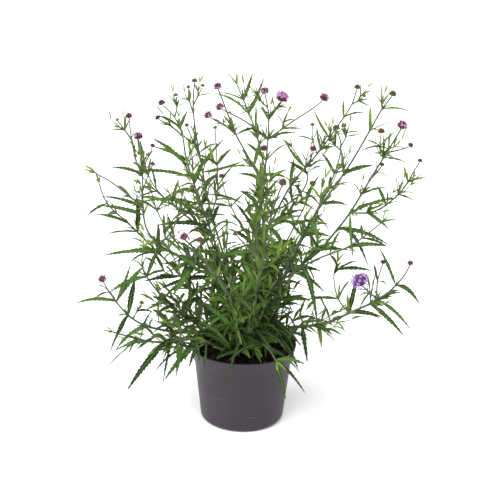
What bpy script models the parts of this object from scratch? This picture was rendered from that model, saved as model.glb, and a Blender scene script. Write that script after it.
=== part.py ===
"""A tall garden verbena in its nursery pot: pot, soil, leafy stems and flower heads.

Metres, +Z up. The origin is the centre of the pot's underside. Free-form places are given in
millimetres, as the real plant measures, and are scaled by MM where they are used.
"""
import math
import random

import bmesh
import bpy
import numpy as np
from mathutils import Matrix, Vector

MM = 0.001
SEED = 23
GAP = 0.0003                    # air between neighbouring pieces

# Pot
RIM_RADIUS = 0.0950
POT_HEIGHT = 0.1430
COLLAR_HEIGHT = 0.0270
COLLAR_FOOT_RADIUS = 0.0890
BODY_TOP_RADIUS = 0.0868
BODY_FOOT_RADIUS = 0.0752
FOOT_CORNER = 0.0100
WALL = 0.0015
FLOOR_THICKNESS = 0.0022
DRAIN_COUNT = 6
DRAIN_RADIUS = 0.0050
DRAIN_RING = 0.0500
POT_SEGMENTS = 24

# Soil
SOIL_TOP = 0.1270
SOIL_RELIEF = 0.0022
SOIL_RINGS = 3
SOIL_SEGMENTS = 16
ROOT_DEPTH = 0.0120

# Stems: square stalks, half the width across the corners, in metres
STALK_FOOT = 0.0028
STALK_TIP = 0.0013
TWIG_FOOT = 0.0017
TWIG_TIP = 0.0010
STALK_STEP = 0.0500
SHORT_TWIG = 0.0900             # a longer side branch bears leaves like a stem

# Leaves
LEAF_LOW = 0.0880
LEAF_HIGH = 0.0460
LEAF_KEEL = 0.0012              # depth of the midrib under the blade
LEAF_CLEARANCE = 0.0016
OWN_REACH = 0.0150              # a leaf may touch its own stem's pieces this near to its root
FIRST_NODE = 0.0300
INTERNODE_LOW = 0.0440
INTERNODE_HIGH = 0.0900
SMALLEST_LEAF = 0.0550          # shorter leaves are too slight for a solid
TOOTHED_LEAF = 0.0600           # longer ones have a cut edge
# Where a leaf's ribs stand along it, for leaves longer than each length
RIBS = ((0.0920, (0, 0.16, 0.36, 0.57, 0.79)), (0.0740, (0, 0.20, 0.48, 0.77)),
        (TOOTHED_LEAF, (0, 0.24, 0.64)), (0, (0, 0.40)))
TRIES = 26
WIDEST = 0.2900                 # no ruled leaf reaches farther out than this

# Each stem: root in the soil (x, y), then the points it passes, then the head at its tip.
# A head is (kind, width); kinds: calyx, part (some florets open), open. All in millimetres.
STEMS = {
    "left_arch": ((-14, 2), ((-12, 4, 180), (-24, 6, 232), (-66, 10, 276), (-106, 13, 295), (-150, 17, 318),
                             (-175, 19, 350), (-180, 23, 400), (-180, 26, 445), (-184, 28, 487),
                             (-187, 30, 505)), ("part", 17)),
    "left_back": ((-14, 14), ((-20, 26, 190), (-41, 45, 273), (-73, 73, 357), (-108, 103, 447),
                              (-116, 117, 490), (-131, 128, 522), (-153, 138, 540)), ("calyx", 13)),
    "left_upright": ((-4, 11), ((-6, 12, 190), (-38, 22, 300), (-65, 32, 390), (-80, 42, 465),
                                (-89, 48, 511), (-95, 54, 560), (-93, 60, 600)), ("calyx", 9)),
    "centre_front": ((2, -10), ((10, -14, 220), (22, -20, 350), (26, -25, 440), (5, -28, 490),
                                (-19, -32, 534), (-36, -36, 578), (-49, -40, 612)), ("part", 14)),
    "centre": ((6, 4), ((18, 4, 200), (21, 7, 298), (21, 10, 372), (30, 13, 447), (35, 16, 515),
                        (35, 18, 560), (28, 20, 592)), ("part", 15)),
    "centre_back": ((2, 20), ((14, 50, 220), (30, 90, 330), (37, 121, 401), (26, 143, 449),
                              (13, 164, 492), (1, 177, 520), (-22, 200, 567)), None),
    "right_back": ((14, 18), ((50, 55, 220), (99, 109, 301), (135, 146, 358), (164, 181, 415),
                              (174, 205, 457), (165, 219, 480)), ("calyx", 14)),
    "right_inner": ((19, 7), ((24, 16, 220), (29, 28, 319), (51, 37, 372), (79, 47, 427), (122, 58, 479),
                              (163, 70, 538), (180, 75, 565), (187, 80, 590)), ("calyx", 11)),
    "right_tall": ((25, -3), ((60, -6, 250), (114, -10, 380), (138, -12, 423), (173, -14, 480),
                              (205, -17, 544), (222, -19, 580), (237, -20, 602)), ("calyx", 13)),
    "right_arch": ((18, -14), ((54, -20, 230), (92, -24, 297), (121, -30, 324), (145, -35, 357),
                               (176, -44, 406), (207, -54, 471), (233, -63, 524), (250, -70, 560)),
                   ("part", 18)),
    "right_low": ((26, -22), ((46, -26, 162), (84, -30, 186), (123, -44, 198), (153, -56, 212),
                              (181, -68, 233), (227, -88, 266), (246, -97, 287), (267, -111, 322),
                              (273, -118, 342)), ("calyx", 10)),
    "left_low": ((-24, -9), ((-60, -16, 162), (-94, -26, 174), (-124, -34, 176), (-165, -46, 189),
                             (-195, -55, 209), (-219, -66, 243), (-232, -72, 267), (-239, -78, 284)),
                 ("part", 15)),
    "left_shoot": ((-22, -21), ((-60, -42, 160), (-101, -64, 176), (-134, -86, 178), (-170, -110, 192),
                                (-216, -138, 218)), None),
    "left_mid": ((-34, 0), ((-56, -4, 168), (-104, -12, 194), (-126, -16, 216), (-156, -21, 252),
                            (-178, -27, 292), (-175, -30, 325)), None),
    "left_outer": ((-26, 12), ((-60, 22, 190), (-120, 32, 262), (-164, 38, 306), (-207, 46, 347),
                               (-246, 54, 380), (-260, 60, 416)), None),
    "front_left": ((-8, -26), ((-14, -56, 200), (-22, -92, 262), (-47, -150, 329), (-77, -211, 394),
                               (-92, -246, 424)), ("part", 13)),
    "front_right": ((8, -23), ((16, -56, 210), (29, -112, 343), (40, -165, 431), (50, -199, 482),
                               (56, -219, 506)), ("calyx", 14)),
    "back_left": ((-10, 29), ((-28, 70, 190), (-55, 120, 245), (-82, 180, 290), (-98, 225, 325),
                              (-104, 245, 350)), ("calyx", 13)),
    "back_right": ((11, 32), ((30, 80, 190), (60, 140, 250), (92, 195, 300), (116, 232, 340),
                              (124, 248, 362)), ("calyx", 13)),
    "back_mid": ((0, 42), ((4, 90, 200), (12, 150, 280), (22, 210, 350), (28, 248, 398),
                           (30, 264, 424)), ("part", 16)),
    "rim_shoot": ((16, -34), ((26, -50, 160), (36, -70, 172), (48, -94, 170), (58, -110, 158)), None),
}

# Side branches: the first point is where one leaves its stem.
BRANCHES = (
    ("left_arch", ((-180, 26, 444), (-191, 29, 464), (-199, 31, 504), (-203, 31, 542)), ("calyx", 12)),
    ("left_arch", ((-199, 31, 504), (-213, 29, 526), (-222, 28, 538)), ("bud", 5)),
    ("left_arch", ((-180, 24, 415), (-172, 28, 440), (-164, 34, 458)), ("calyx", 8)),
    ("left_arch", ((-180, 27, 456), (-170, 30, 474), (-164, 36, 490)), ("calyx", 8)),
    ("left_arch", ((-179, 21, 385), (-198, 18, 403), (-234, 16, 433), (-260, 14, 448)), None),
    ("left_back", ((-131, 128, 522), (-126, 136, 540), (-130, 142, 556)), ("bud", 7)),
    ("left_back", ((-116, 117, 490), (-134, 112, 508), (-158, 108, 522)), ("calyx", 9)),
    ("left_upright", ((-94, 52, 548), (-102, 50, 572), (-103, 50, 592)), ("calyx", 6)),
    ("left_upright", ((-95, 55, 562), (-86, 60, 578), (-80, 64, 592)), ("calyx", 6)),
    ("left_upright", ((-80, 42, 465), (-92, 36, 500), (-104, 30, 530)), ("bud", 7)),
    ("centre_front", ((-19, -32, 534), (-38, -38, 552), (-62, -46, 566)), ("part", 13)),
    ("centre", ((35, 16, 515), (9, 12, 538), (-20, 8, 556), (-44, 4, 568)), ("part", 14)),
    ("centre", ((35, 16, 515), (72, 20, 543), (114, 22, 572), (125, 22, 582)), ("part", 17)),
    ("centre", ((35, 18, 556), (48, 22, 568), (54, 24, 578)), ("open", 24)),
    ("centre", ((34, 19, 570), (20, 12, 582), (14, 10, 594)), ("bud", 7)),
    ("right_back", ((174, 205, 455), (184, 208, 472), (178, 212, 488)), ("calyx", 10)),
    ("right_back", ((173, 200, 448), (160, 196, 458), (154, 194, 466)), ("calyx", 9)),
    ("right_inner", ((180, 75, 565), (190, 70, 572), (198, 68, 580)), ("bud", 6)),
    ("right_inner", ((103, 53, 455), (112, 48, 474), (114, 44, 488)), ("calyx", 12)),
    ("right_inner", ((122, 58, 479), (112, 64, 506), (112, 68, 526)), ("bud", 7)),
    ("right_arch", ((230, -62, 518), (248, -70, 524), (264, -76, 532)), ("calyx", 9)),
    ("right_arch", ((225, -60, 508), (218, -54, 530), (220, -50, 546)), ("calyx", 12)),
    ("right_arch", ((176, -44, 406), (213, -34, 404), (240, -24, 416), (268, -14, 442), (283, -8, 470),
                    (292, -6, 486)), ("calyx", 8)),
    ("right_arch", ((207, -54, 471), (218, -50, 480), (224, -48, 490)), ("bud", 8)),
    ("right_low", ((227, -88, 266), (212, -100, 284), (196, -112, 302)), ("open", 30)),
    ("right_low", ((226, -88, 266), (224, -84, 296), (232, -84, 330)), ("calyx", 9)),
    ("left_low", ((-192, -54, 207), (-184, -50, 222), (-178, -48, 232)), ("bud", 8)),
    ("front_left", ((-72, -202, 385), (-66, -222, 404), (-68, -238, 418)), ("calyx", 9)),
    ("front_right", ((29, -112, 343), (2, -140, 378), (-14, -164, 404)), ("bud", 8)),
    ("back_mid", ((12, 150, 280), (-14, 180, 310), (-40, 210, 352), (-48, 226, 380)), ("calyx", 11)),
    ("right_arch", ((88, -24, 290), (115, -46, 318), (144, -62, 338), (170, -78, 355), (195, -88, 377),
                    (226, -92, 407)), None),
    ("right_low", ((181, -68, 233), (160, -62, 258), (152, -56, 300), (158, -50, 319)), None),
    ("left_arch", ((-152, 17, 319), (-138, -6, 339), (-120, -20, 371), (-109, -26, 422)), None),
    ("left_arch", ((-66, 10, 276), (-96, -14, 310), (-128, -30, 354), (-150, -40, 400), (-160, -46, 440)),
     None),
    ("left_back", ((-60, 62, 325), (-96, 66, 348), (-148, 78, 388), (-172, 86, 416), (-184, 92, 452)),
     None),
    ("left_back", ((-73, 73, 357), (-104, 60, 366), (-132, 52, 384), (-158, 46, 408), (-182, 40, 436)),
     None),
    ("left_upright", ((-60, 30, 374), (-50, 20, 415), (-51, 14, 464), (-55, 10, 532)), ("bud", 6)),
    ("left_upright", ((-54, 28, 352), (-78, 8, 396), (-90, 2, 440), (-94, -4, 492)), None),
    ("right_inner", ((56, 38, 382), (90, 60, 398), (108, 66, 428), (102, 66, 452), (78, 64, 488)), None),
    ("right_tall", ((100, -9, 344), (124, 16, 392), (146, 26, 430), (160, 30, 466)), ("bud", 6)),
)

# Leaves that stand out on the plant: stem, root, tip, width across, rise of the midrib over the chord.
LEAVES = (
    ("left_shoot", (-134, -84, 180), (-196, -136, 108), 11, 6),
    ("left_shoot", (-104, -66, 176), (-112, -142, 138), 10, 7),
    ("left_shoot", (-118, -74, 178), (-150, -150, 186), 9, 5),
    ("left_shoot", (-159, -103, 187), (-222, -84, 158), 9, 6),
    ("left_mid", (-148, -20, 242), (-146, -74, 206), 9, 5),
    ("left_mid", (-121, -15, 212), (-172, -66, 262), 10, 5),
    ("left_arch", (-134, 16, 310), (-248, -16, 308), 10, 5),
    ("left_arch", (-179, 21, 385), (-256, 46, 396), 7, 5),
    ("left_arch", (-180, 26, 444), (-232, 4, 462), 6, 4),
    ("left_back", (-108, 103, 447), (-174, 116, 470), 7, 5),
    ("left_upright", (-82, 44, 480), (-50, 20, 504), 5, 4),
    ("front_right", (12, -46, 176), (-28, -112, 106), 6, 30),
    ("front_right", (15, -52, 196), (54, -104, 168), 8, 6),
    ("rim_shoot", (57, -108, 160), (106, -118, 158), 8, 4),
    ("rim_shoot", (57, -108, 160), (110, -110, 98), 6, 5),
    ("rim_shoot", (54, -104, 164), (76, -124, 92), 7, 5),
    ("left_low", (-78, -21, 168), (-20, -80, 164), 8, 8),
    ("right_arch", (176, -44, 406), (254, -62, 440), 8, 5),
    ("right_arch", (158, -38, 374), (242, -74, 360), 8, 8),
    ("right_arch", (158, -38, 374), (208, -96, 326), 7, 22),
    ("right_low", (123, -44, 198), (152, -104, 206), 9, 6),
    ("right_low", (227, -88, 266), (284, -112, 222), 7, 6),
    ("right_low", (181, -68, 233), (196, -30, 284), 9, 4),
    ("right_low", (234, -92, 272), (264, -76, 280), 6, 4),
    ("right_low", (181, -68, 233), (238, -44, 214), 8, 5),
    ("left_low", (-219, -66, 243), (-290, -56, 234), 7, 7),
    ("left_low", (-219, -66, 243), (-194, -56, 310), 7, -5),
    ("left_low", (-230, -71, 263), (-256, -90, 254), 4, 4),
    ("right_tall", (222, -19, 580), (221, -8, 622), 5, -3),
    ("right_tall", (222, -19, 580), (266, -30, 580), 4, 4),
    ("right_arch", (233, -63, 524), (184, -84, 524), 5, 6),
    ("right_arch", (274, -11, 452), (266, -2, 478), 4, 3),
    ("right_arch", (274, -11, 452), (306, -16, 462), 4, 3),
    ("right_arch", (238, -25, 415), (222, -14, 446), 6, 3),
    ("centre_back", (1, 177, 520), (-66, 192, 552), 5, 8),
    ("centre_back", (1, 177, 520), (27, 184, 586), 7, -4),
    ("centre", (35, 16, 515), (-4, -6, 540), 6, 4),
    ("centre", (35, 16, 515), (84, 34, 522), 6, 5),
    ("left_outer", (-246, 54, 380), (-282, 40, 360), 6, 4),
    ("left_outer", (-228, 50, 364), (-254, 92, 344), 7, 4),
    ("right_inner", (142, 64, 508), (113, 74, 556), 5, -4),
    ("right_inner", (103, 53, 455), (64, 62, 502), 6, -4),
    ("right_arch", (170, -78, 355), (235, -110, 371), 8, 5),
    ("right_arch", (100, -26, 304), (161, -74, 366), 9, 8),
    ("right_tall", (108, -9, 362), (124, -76, 352), 10, 26),
    ("right_arch", (98, -25, 302), (127, -104, 221), 10, 20),
    ("right_low", (150, -56, 211), (127, -66, 264), 9, 4),
    ("right_arch", (54, -20, 230), (118, -80, 258), 12, 6),
    ("left_arch", (-32, 7, 243), (44, -58, 280), 9, 4),
    ("centre_front", (13, -15, 252), (75, -90, 256), 11, 7),
    ("left_arch", (-52, 9, 262), (-150, -58, 262), 11, 7),
    ("left_arch", (-88, 12, 286), (-122, -76, 254), 14, 6),
    ("left_arch", (-118, 14, 300), (-68, -44, 300), 12, 4),
    ("left_mid", (-90, -10, 186), (-20, -104, 180), 8, 8),
    ("left_low", (-68, -18, 164), (-108, -108, 130), 12, 10),
    ("front_right", (14, -50, 188), (76, -96, 178), 9, 7),
    ("right_arch", (176, -44, 406), (184, -96, 336), 6, 6),
    ("left_arch", (-150, 17, 318), (-150, -22, 374), 10, 2),
    ("left_back", (-106, 100, 438), (-168, 84, 494), 10, 4),
    ("left_back", (-96, 92, 420), (-40, 64, 502), 8, 4),
    ("left_arch", (-177, 20, 372), (-252, 0, 394), 8, 4),
    ("left_arch", (-180, 23, 404), (-128, -12, 402), 7, 4),
    ("left_outer", (-207, 46, 347), (-262, 18, 372), 8, 4),
    ("right_low", (184, -70, 236), (234, -104, 242), 7, 4),
    ("left_mid", (-178, -27, 292), (-220, -64, 234), 8, 5),
    ("right_low", (152, -56, 300), (188, -84, 334), 9, 4),
    ("right_low", (153, -55, 306), (216, -70, 312), 8, 4),
    ("left_back", (-98, 94, 422), (-200, 60, 440), 7, 5),
    ("left_back", (-80, 79, 374), (-190, 70, 376), 7, 8),
    ("left_back", (-66, 67, 338), (-160, 40, 346), 8, 6),
    ("left_upright", (-70, 35, 408), (0, 8, 398), 6, 5),
    ("left_upright", (-76, 39, 447), (-4, 24, 474), 7, -3),
    ("left_upright", (-52, 18, 428), (-24, -8, 472), 7, 3),
    ("left_back", (-84, 82, 386), (-58, 56, 432), 9, 2),
    ("right_tall", (130, -11, 408), (178, 20, 398), 8, 5),
    ("right_back", (135, 146, 358), (96, 112, 396), 9, 3),
)


def stem_line(root, points):
    """A smooth line through chosen points, upright where it stands in the soil."""
    foot = Vector((root[0] * MM, root[1] * MM, SOIL_TOP - ROOT_DEPTH))
    neck = Vector((foot.x, foot.y, SOIL_TOP + 2 * SOIL_RELIEF))
    return [foot] + smooth_line([neck] + [Vector(p) * MM for p in points])


def smooth_line(points):
    """A Catmull-Rom curve through the points, read about every STALK_STEP."""
    before, after = points[0] * 2 - points[1], points[-1] * 2 - points[-2]
    run = [before] + points + [after]
    line = []
    for a, b, c, d in zip(run, run[1:], run[2:], run[3:]):
        count = max(1, round((c - b).length / STALK_STEP))
        for i in range(count):
            t = i / count
            line.append(0.5 * (2 * b + (c - a) * t + (2 * a - 5 * b + 4 * c - d) * t ** 2
                               + (3 * b - a - 3 * c + d) * t ** 3))
    return line + [points[-1]]


def length_of(line):
    return sum((b - a).length for a, b in zip(line, line[1:]))


def along(line, distance):
    """The point and direction at a distance along a line."""
    for a, b in zip(line, line[1:]):
        step = (b - a).length
        if distance <= step or b is line[-1]:
            return a.lerp(b, min(1.0, distance / step)), (b - a).normalized()
        distance -= step


def nearest_on(line, point):
    """The distance along a line at which it passes closest to a point."""
    best, best_gap, run = 0.0, 1e9, 0.0
    for a, b in zip(line, line[1:]):
        step = b - a
        t = min(1.0, max(0.0, (point - a).dot(step) / step.length_squared))
        gap = (a + step * t - point).length
        if gap < best_gap:
            best, best_gap = run + t * step.length, gap
        run += step.length
    return best, best_gap


def stalks():
    """Every stem and side branch: its stem's name, its line, its girth at both ends, its head."""
    found = [dict(stem=name, line=stem_line(root, points), foot=STALK_FOOT, tip=STALK_TIP, head=head)
             for name, (root, points, head) in STEMS.items()]
    for name, points, head in BRANCHES:
        points = [Vector(p) * MM for p in points]
        carriers = [s for s in found if s["stem"] == name]
        carrier = min(carriers, key=lambda s: nearest_on(s["line"], points[0])[1])
        points[0] = along(carrier["line"], nearest_on(carrier["line"], points[0])[0])[0]
        found.append(dict(stem=name, line=smooth_line(points), foot=TWIG_FOOT, tip=TWIG_TIP, head=head))
    return found


class Space:
    """Round samples of all that is placed, so that one piece is kept clear of another."""

    def __init__(self):
        self.at, self.wide, self.owner = np.empty((0, 3)), np.empty(0), np.empty(0, int)

    def add(self, points, radii, owner):
        self.at = np.vstack([self.at, np.array(points)])
        self.wide = np.append(self.wide, radii)
        self.owner = np.append(self.owner, [owner] * len(points))

    def is_clear(self, points, radii, owner):
        gaps = np.linalg.norm(np.array(points)[:, None] - self.at[None], axis=2)
        gaps -= np.array(radii)[:, None] + self.wide[None]
        own = self.owner == owner
        far = np.array([math.dist(p, points[0]) > OWN_REACH for p in points])
        return gaps[:, ~own].min() > LEAF_CLEARANCE and (not far.any() or gaps[far][:, own].min() > 0)


def clear_of_pot(points, radii):
    """Over the soil inside the rim, above the rim, or outside it."""
    for (x, y, z), r in zip(points, radii):
        reach = math.hypot(x, y)
        inside = z > SOIL_TOP + 3 * SOIL_RELIEF + r and reach < RIM_RADIUS - 0.007 - r
        if z < 0.010 + r or not (z > POT_HEIGHT + r + 0.001 or inside or reach > RIM_RADIUS + r + 0.001):
            return False
    return True


def leaf_width_at(s):
    """Half-width over greatest half-width: a narrow foot, an even strap, then a pointed tip."""
    return (0.38 + 0.62 * min(1.0, s / 0.30) ** 0.8) * (1 - max(0.0, (s - 0.30) / 0.70) ** 2.2)


def midrib(leaf, s):
    chord = leaf["tip"] - leaf["root"]
    return leaf["root"] + chord * s + Vector((0, 0, 4 * leaf["rise"] * s * (1 - s)))


def leaf_samples(leaf):
    count = max(5, round((leaf["tip"] - leaf["root"]).length / 0.005))
    steps = [0.10 + 0.90 * i / count for i in range(count + 1)]
    return [tuple(midrib(leaf, s)) for s in steps], [leaf["width"] / 2 * leaf_width_at(s) for s in steps]


def plan_leaves(found):
    """Chosen leaves first, then a pair at each node of each stem, each kept clear of the others."""
    rng = random.Random(SEED)
    names = list(STEMS)
    space = Space()
    for index, stalk in enumerate(found):
        total = length_of(stalk["line"])
        count = round(total / 0.003)
        places = [along(stalk["line"], total * i / count)[0] for i in range(count + 1)]
        girths = [stalk["foot"] + (stalk["tip"] - stalk["foot"]) * i / count for i in range(count + 1)]
        space.add(places, girths, names.index(stalk["stem"]))
        if stalk["head"] and stalk["head"][0] != "bud":
            width = stalk["head"][1] * MM
            centre = head_centre(stalk, width)
            space.add([centre], [width * 0.55], 1000 + index)
    leaves = []

    def settle(stem, make):
        for attempt in range(TRIES):
            leaf = make(attempt)
            points, radii = leaf_samples(leaf)
            if clear_of_pot(points, radii) and space.is_clear(points, radii, names.index(stem)):
                space.add(points, radii, names.index(stem))
                leaves.append(leaf)
                return

    for stem, root, tip, width, rise in LEAVES:
        root, tip = Vector(root) * MM, Vector(tip) * MM
        lines = [s["line"] for s in found if s["stem"] == stem]
        line = min(lines, key=lambda one: nearest_on(one, root)[1])
        root = along(line, nearest_on(line, root)[0])[0]

        def chosen(attempt):
            stray = Vector([rng.uniform(-1, 1) for _ in range(3)]) * (0.0022 * attempt)
            return dict(stem=stem, root=root, tip=tip + stray, width=width * MM, rise=rise * MM,
                        twist=rng.uniform(-0.35, 0.35),
                        plane=math.copysign(rng.uniform(0.45, 1.05), tip.x - root.x))
        settle(stem, chosen)

    kept = list(leaves)
    for stalk in found:
        total = length_of(stalk["line"])
        twig = stalk["foot"] == TWIG_FOOT
        short = twig and total < SHORT_TWIG
        distance = 0.5 * total if short else FIRST_NODE
        turn = rng.uniform(0, math.pi)
        while distance < total - (0.012 if twig else 0.030):
            place, heading = along(stalk["line"], distance)
            height = min(1.0, max(0.0, (place.z - 0.15) / 0.42))
            across = heading.orthogonal().normalized()
            taken = any(l["stem"] == stalk["stem"] and (l["root"] - place).length < 0.016 for l in kept)
            for side in ([] if taken else (0, math.pi)):
                def by_rule(attempt):
                    size = (LEAF_LOW + (LEAF_HIGH - LEAF_LOW) * height ** 0.8) * rng.uniform(0.84, 1.14)
                    size *= (0.55 if short else 0.85 if twig else 1.0) * (1 - 0.018 * attempt)
                    spread = turn + side + rng.uniform(-0.25, 0.25) * (1 + 0.35 * attempt)
                    out = Matrix.Rotation(spread, 3, heading) @ across
                    opening = math.radians(rng.uniform(38, 64) + 26 * (1 - height) ** 3 + 1.5 * attempt)
                    tip = place + (heading * math.cos(opening) + out * math.sin(opening)) * size
                    sag = size * rng.uniform(0.05, 0.30) * (1.15 - 0.8 * height)
                    tip.z -= sag
                    tip.x = min(WIDEST, max(-WIDEST, tip.x))
                    return dict(stem=stalk["stem"], root=place, tip=tip, rise=sag * 0.4 + 0.02 * size,
                                width=size * rng.uniform(0.100, 0.130), twist=rng.uniform(-0.5, 0.5),
                                plane=math.copysign(rng.uniform(-0.25, 1.15), out.x))
                settle(stalk["stem"], by_rule)
            turn += math.pi / 2 + rng.uniform(-0.2, 0.2)
            distance += (INTERNODE_LOW + (INTERNODE_HIGH - INTERNODE_LOW) * height) * rng.uniform(0.85, 1.15)
    return leaves


def head_centre(stalk, width):
    """A head's middle, over the tip of its stalk and turned a little more upright than it."""
    return head_foot(stalk) + head_axis(stalk) * (GAP + 0.30 * width)


def head_foot(stalk):
    """The place on a head's axis that is level with the highest corner of its stalk's end."""
    ahead = (stalk["line"][-1] - stalk["line"][-2]).normalized()
    return stalk["line"][-1] + head_axis(stalk) * stalk["tip"] * ahead.cross(head_axis(stalk)).length


def head_axis(stalk):
    return (stalk["line"][-1] - stalk["line"][-2]).normalized().lerp(Vector((0, 0, 1)), 0.45).normalized()


def paint(name, colour, roughness):
    material = bpy.data.materials.new(name)
    material.use_nodes = True
    shader = material.node_tree.nodes["Principled BSDF"]
    shader.inputs["Base Color"].default_value = (*colour, 1.0)
    shader.inputs["Roughness"].default_value = roughness
    shader.inputs["Metallic"].default_value = 0.0
    return material


def new_object(name, mesh, home):
    item = bpy.data.objects.new(name, mesh)
    home.objects.link(item)
    return item


def from_bmesh(name, solid, home):
    mesh = bpy.data.meshes.new(name)
    solid.to_mesh(mesh)
    solid.free()
    return new_object(name, mesh, home)


def realised(item, home, weld=False):
    """A plain mesh of an object with its modifiers or bevel, in the object's place."""
    mesh = bpy.data.meshes.new_from_object(item.evaluated_get(bpy.context.evaluated_depsgraph_get()))
    if weld:
        solid = bmesh.new()
        solid.from_mesh(mesh)
        bmesh.ops.remove_doubles(solid, verts=solid.verts, dist=0.00001)
        solid.to_mesh(mesh)
        solid.free()
    plain = new_object(item.name + "_solid", mesh, home)
    plain.matrix_world = item.matrix_world
    bpy.data.objects.remove(item)
    return plain


def turned(name, profile, segments, home):
    """A profile in the XZ plane turned about Z."""
    solid = bmesh.new()
    verts = [solid.verts.new((r, 0, z)) for r, z in profile]
    for a, b in zip(verts, verts[1:]):
        solid.edges.new((a, b))
    item = from_bmesh(name, solid, home)
    screw = item.modifiers.new("Turn", "SCREW")
    screw.steps = screw.render_steps = segments
    screw.use_merge_vertices = True
    screw.merge_threshold = 0.00001
    return item


def cut_with(item, cutters, solver="EXACT"):
    cut = item.modifiers.new("Cut", "BOOLEAN")
    cut.operation = "DIFFERENCE"
    cut.operand_type = "COLLECTION"
    cut.collection = cutters
    cut.solver = solver


def cutter(place, radius, depth, sides, home):
    solid = bmesh.new()
    bmesh.ops.create_cone(solid, cap_ends=True, segments=sides, radius1=radius, radius2=radius, depth=depth,
                          matrix=Matrix.Translation(place))
    item = from_bmesh("cutter", solid, home)
    item.hide_render = True
    item.display_type = "WIRE"


def fuse(name, pieces, home):
    """One solid from pieces that overlap: one Boolean union over their collection."""
    first = pieces[0]
    if len(pieces) > 1:
        others = bpy.data.collections.new(name + "_pieces")
        bpy.context.scene.collection.children.link(others)
        for piece in pieces[1:]:
            home.objects.unlink(piece)
            others.objects.link(piece)
        union = first.modifiers.new("Fuse", "BOOLEAN")
        union.operation = "UNION"
        union.operand_type = "COLLECTION"
        union.collection = others
        union.solver = "MANIFOLD"
        first = realised(first, home)
        for piece in pieces[1:]:
            bpy.data.objects.remove(piece)
        bpy.data.collections.remove(others)
    first.name = name
    return first


def make_pot(home, cutters, material):
    """A thin moulded pot: collar band, shoulder, tapering body, rounded foot, drain holes."""
    rim, shoulder = POT_HEIGHT, POT_HEIGHT - COLLAR_HEIGHT
    corner = [(BODY_FOOT_RADIUS - FOOT_CORNER * (1 - math.cos(a)), FOOT_CORNER * (1 - math.sin(a)))
              for a in (math.radians(d) for d in (0, 30, 60, 90))]
    inside = [(0, FLOOR_THICKNESS), (BODY_FOOT_RADIUS - FOOT_CORNER, FLOOR_THICKNESS),
              (BODY_FOOT_RADIUS - WALL, FOOT_CORNER + 0.001), (BODY_TOP_RADIUS - WALL, shoulder - 0.003),
              (COLLAR_FOOT_RADIUS - WALL, shoulder + 0.002), (RIM_RADIUS - WALL, rim - 0.0006)]
    outside = [(RIM_RADIUS - 0.0008, rim), (RIM_RADIUS, rim - 0.0012), (COLLAR_FOOT_RADIUS, shoulder),
               (BODY_TOP_RADIUS, shoulder - 0.0018)]
    pot = turned("pot", inside + outside + corner + [(0, 0)], POT_SEGMENTS, home)
    for i in range(DRAIN_COUNT):
        angle = math.tau * (i + 0.5) / DRAIN_COUNT
        place = (DRAIN_RING * math.cos(angle), DRAIN_RING * math.sin(angle), 0)
        cutter(place, DRAIN_RADIUS, 0.02, 6, cutters)
    cut_with(pot, cutters)
    pot.data.materials.append(material)
    return pot


def soil_height(x, y):
    """Low crumbly relief that rises a little to the crown."""
    lumps = math.sin(95 * x + 1.3) * math.cos(83 * y - 0.4) + 0.6 * math.sin(171 * y + 140 * x)
    return SOIL_TOP + SOIL_RELIEF * (0.42 * lumps + 0.35 * math.cos(34 * math.hypot(x, y)))


def make_soil(home, cutters, material):
    """The root ball up to just under the rim, with a plain hole for each stem."""
    inner_top = BODY_TOP_RADIUS - WALL - GAP
    inner_foot = BODY_FOOT_RADIUS - WALL - GAP
    profile = [(inner_top * i / SOIL_RINGS, SOIL_TOP) for i in range(SOIL_RINGS + 1)]
    top = POT_HEIGHT - COLLAR_HEIGHT - 0.004
    profile += [(inner_top - 0.0006, top), (inner_foot - 0.0010, FOOT_CORNER + 0.001),
                (BODY_FOOT_RADIUS - FOOT_CORNER - 0.0015, FLOOR_THICKNESS + GAP), (0, FLOOR_THICKNESS + GAP)]
    soil = realised(turned("soil", profile, SOIL_SEGMENTS, home), home)
    soil.name = "soil"
    for vert in soil.data.vertices:
        if vert.co.z > SOIL_TOP - 0.001:
            vert.co.z = soil_height(vert.co.x, vert.co.y)
    hole = STALK_FOOT / math.cos(math.pi / 5) + GAP
    for root, _, _ in STEMS.values():
        place = (root[0] * MM, root[1] * MM, SOIL_TOP - ROOT_DEPTH - GAP + 0.01)
        cutter(place, hole, 0.02, 5, cutters)
    cut_with(soil, cutters, "MANIFOLD")
    soil.data.materials.append(material)
    return soil


def make_stalk(stalk, home):
    """A square tapering stalk along its line."""
    curve = bpy.data.curves.new("stalk", "CURVE")
    curve.dimensions = "3D"
    curve.bevel_depth = 1.0
    curve.bevel_resolution = 0
    curve.use_fill_caps = True
    spline = curve.splines.new("POLY")
    spline.points.add(len(stalk["line"]) - 1)
    for i, place in enumerate(stalk["line"]):
        share = i / (len(stalk["line"]) - 1)
        spline.points[i].co = (*place, 1)
        spline.points[i].radius = stalk["foot"] + (stalk["tip"] - stalk["foot"]) * share
    return realised(new_object("stalk", curve, home), home, weld=True)


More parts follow.
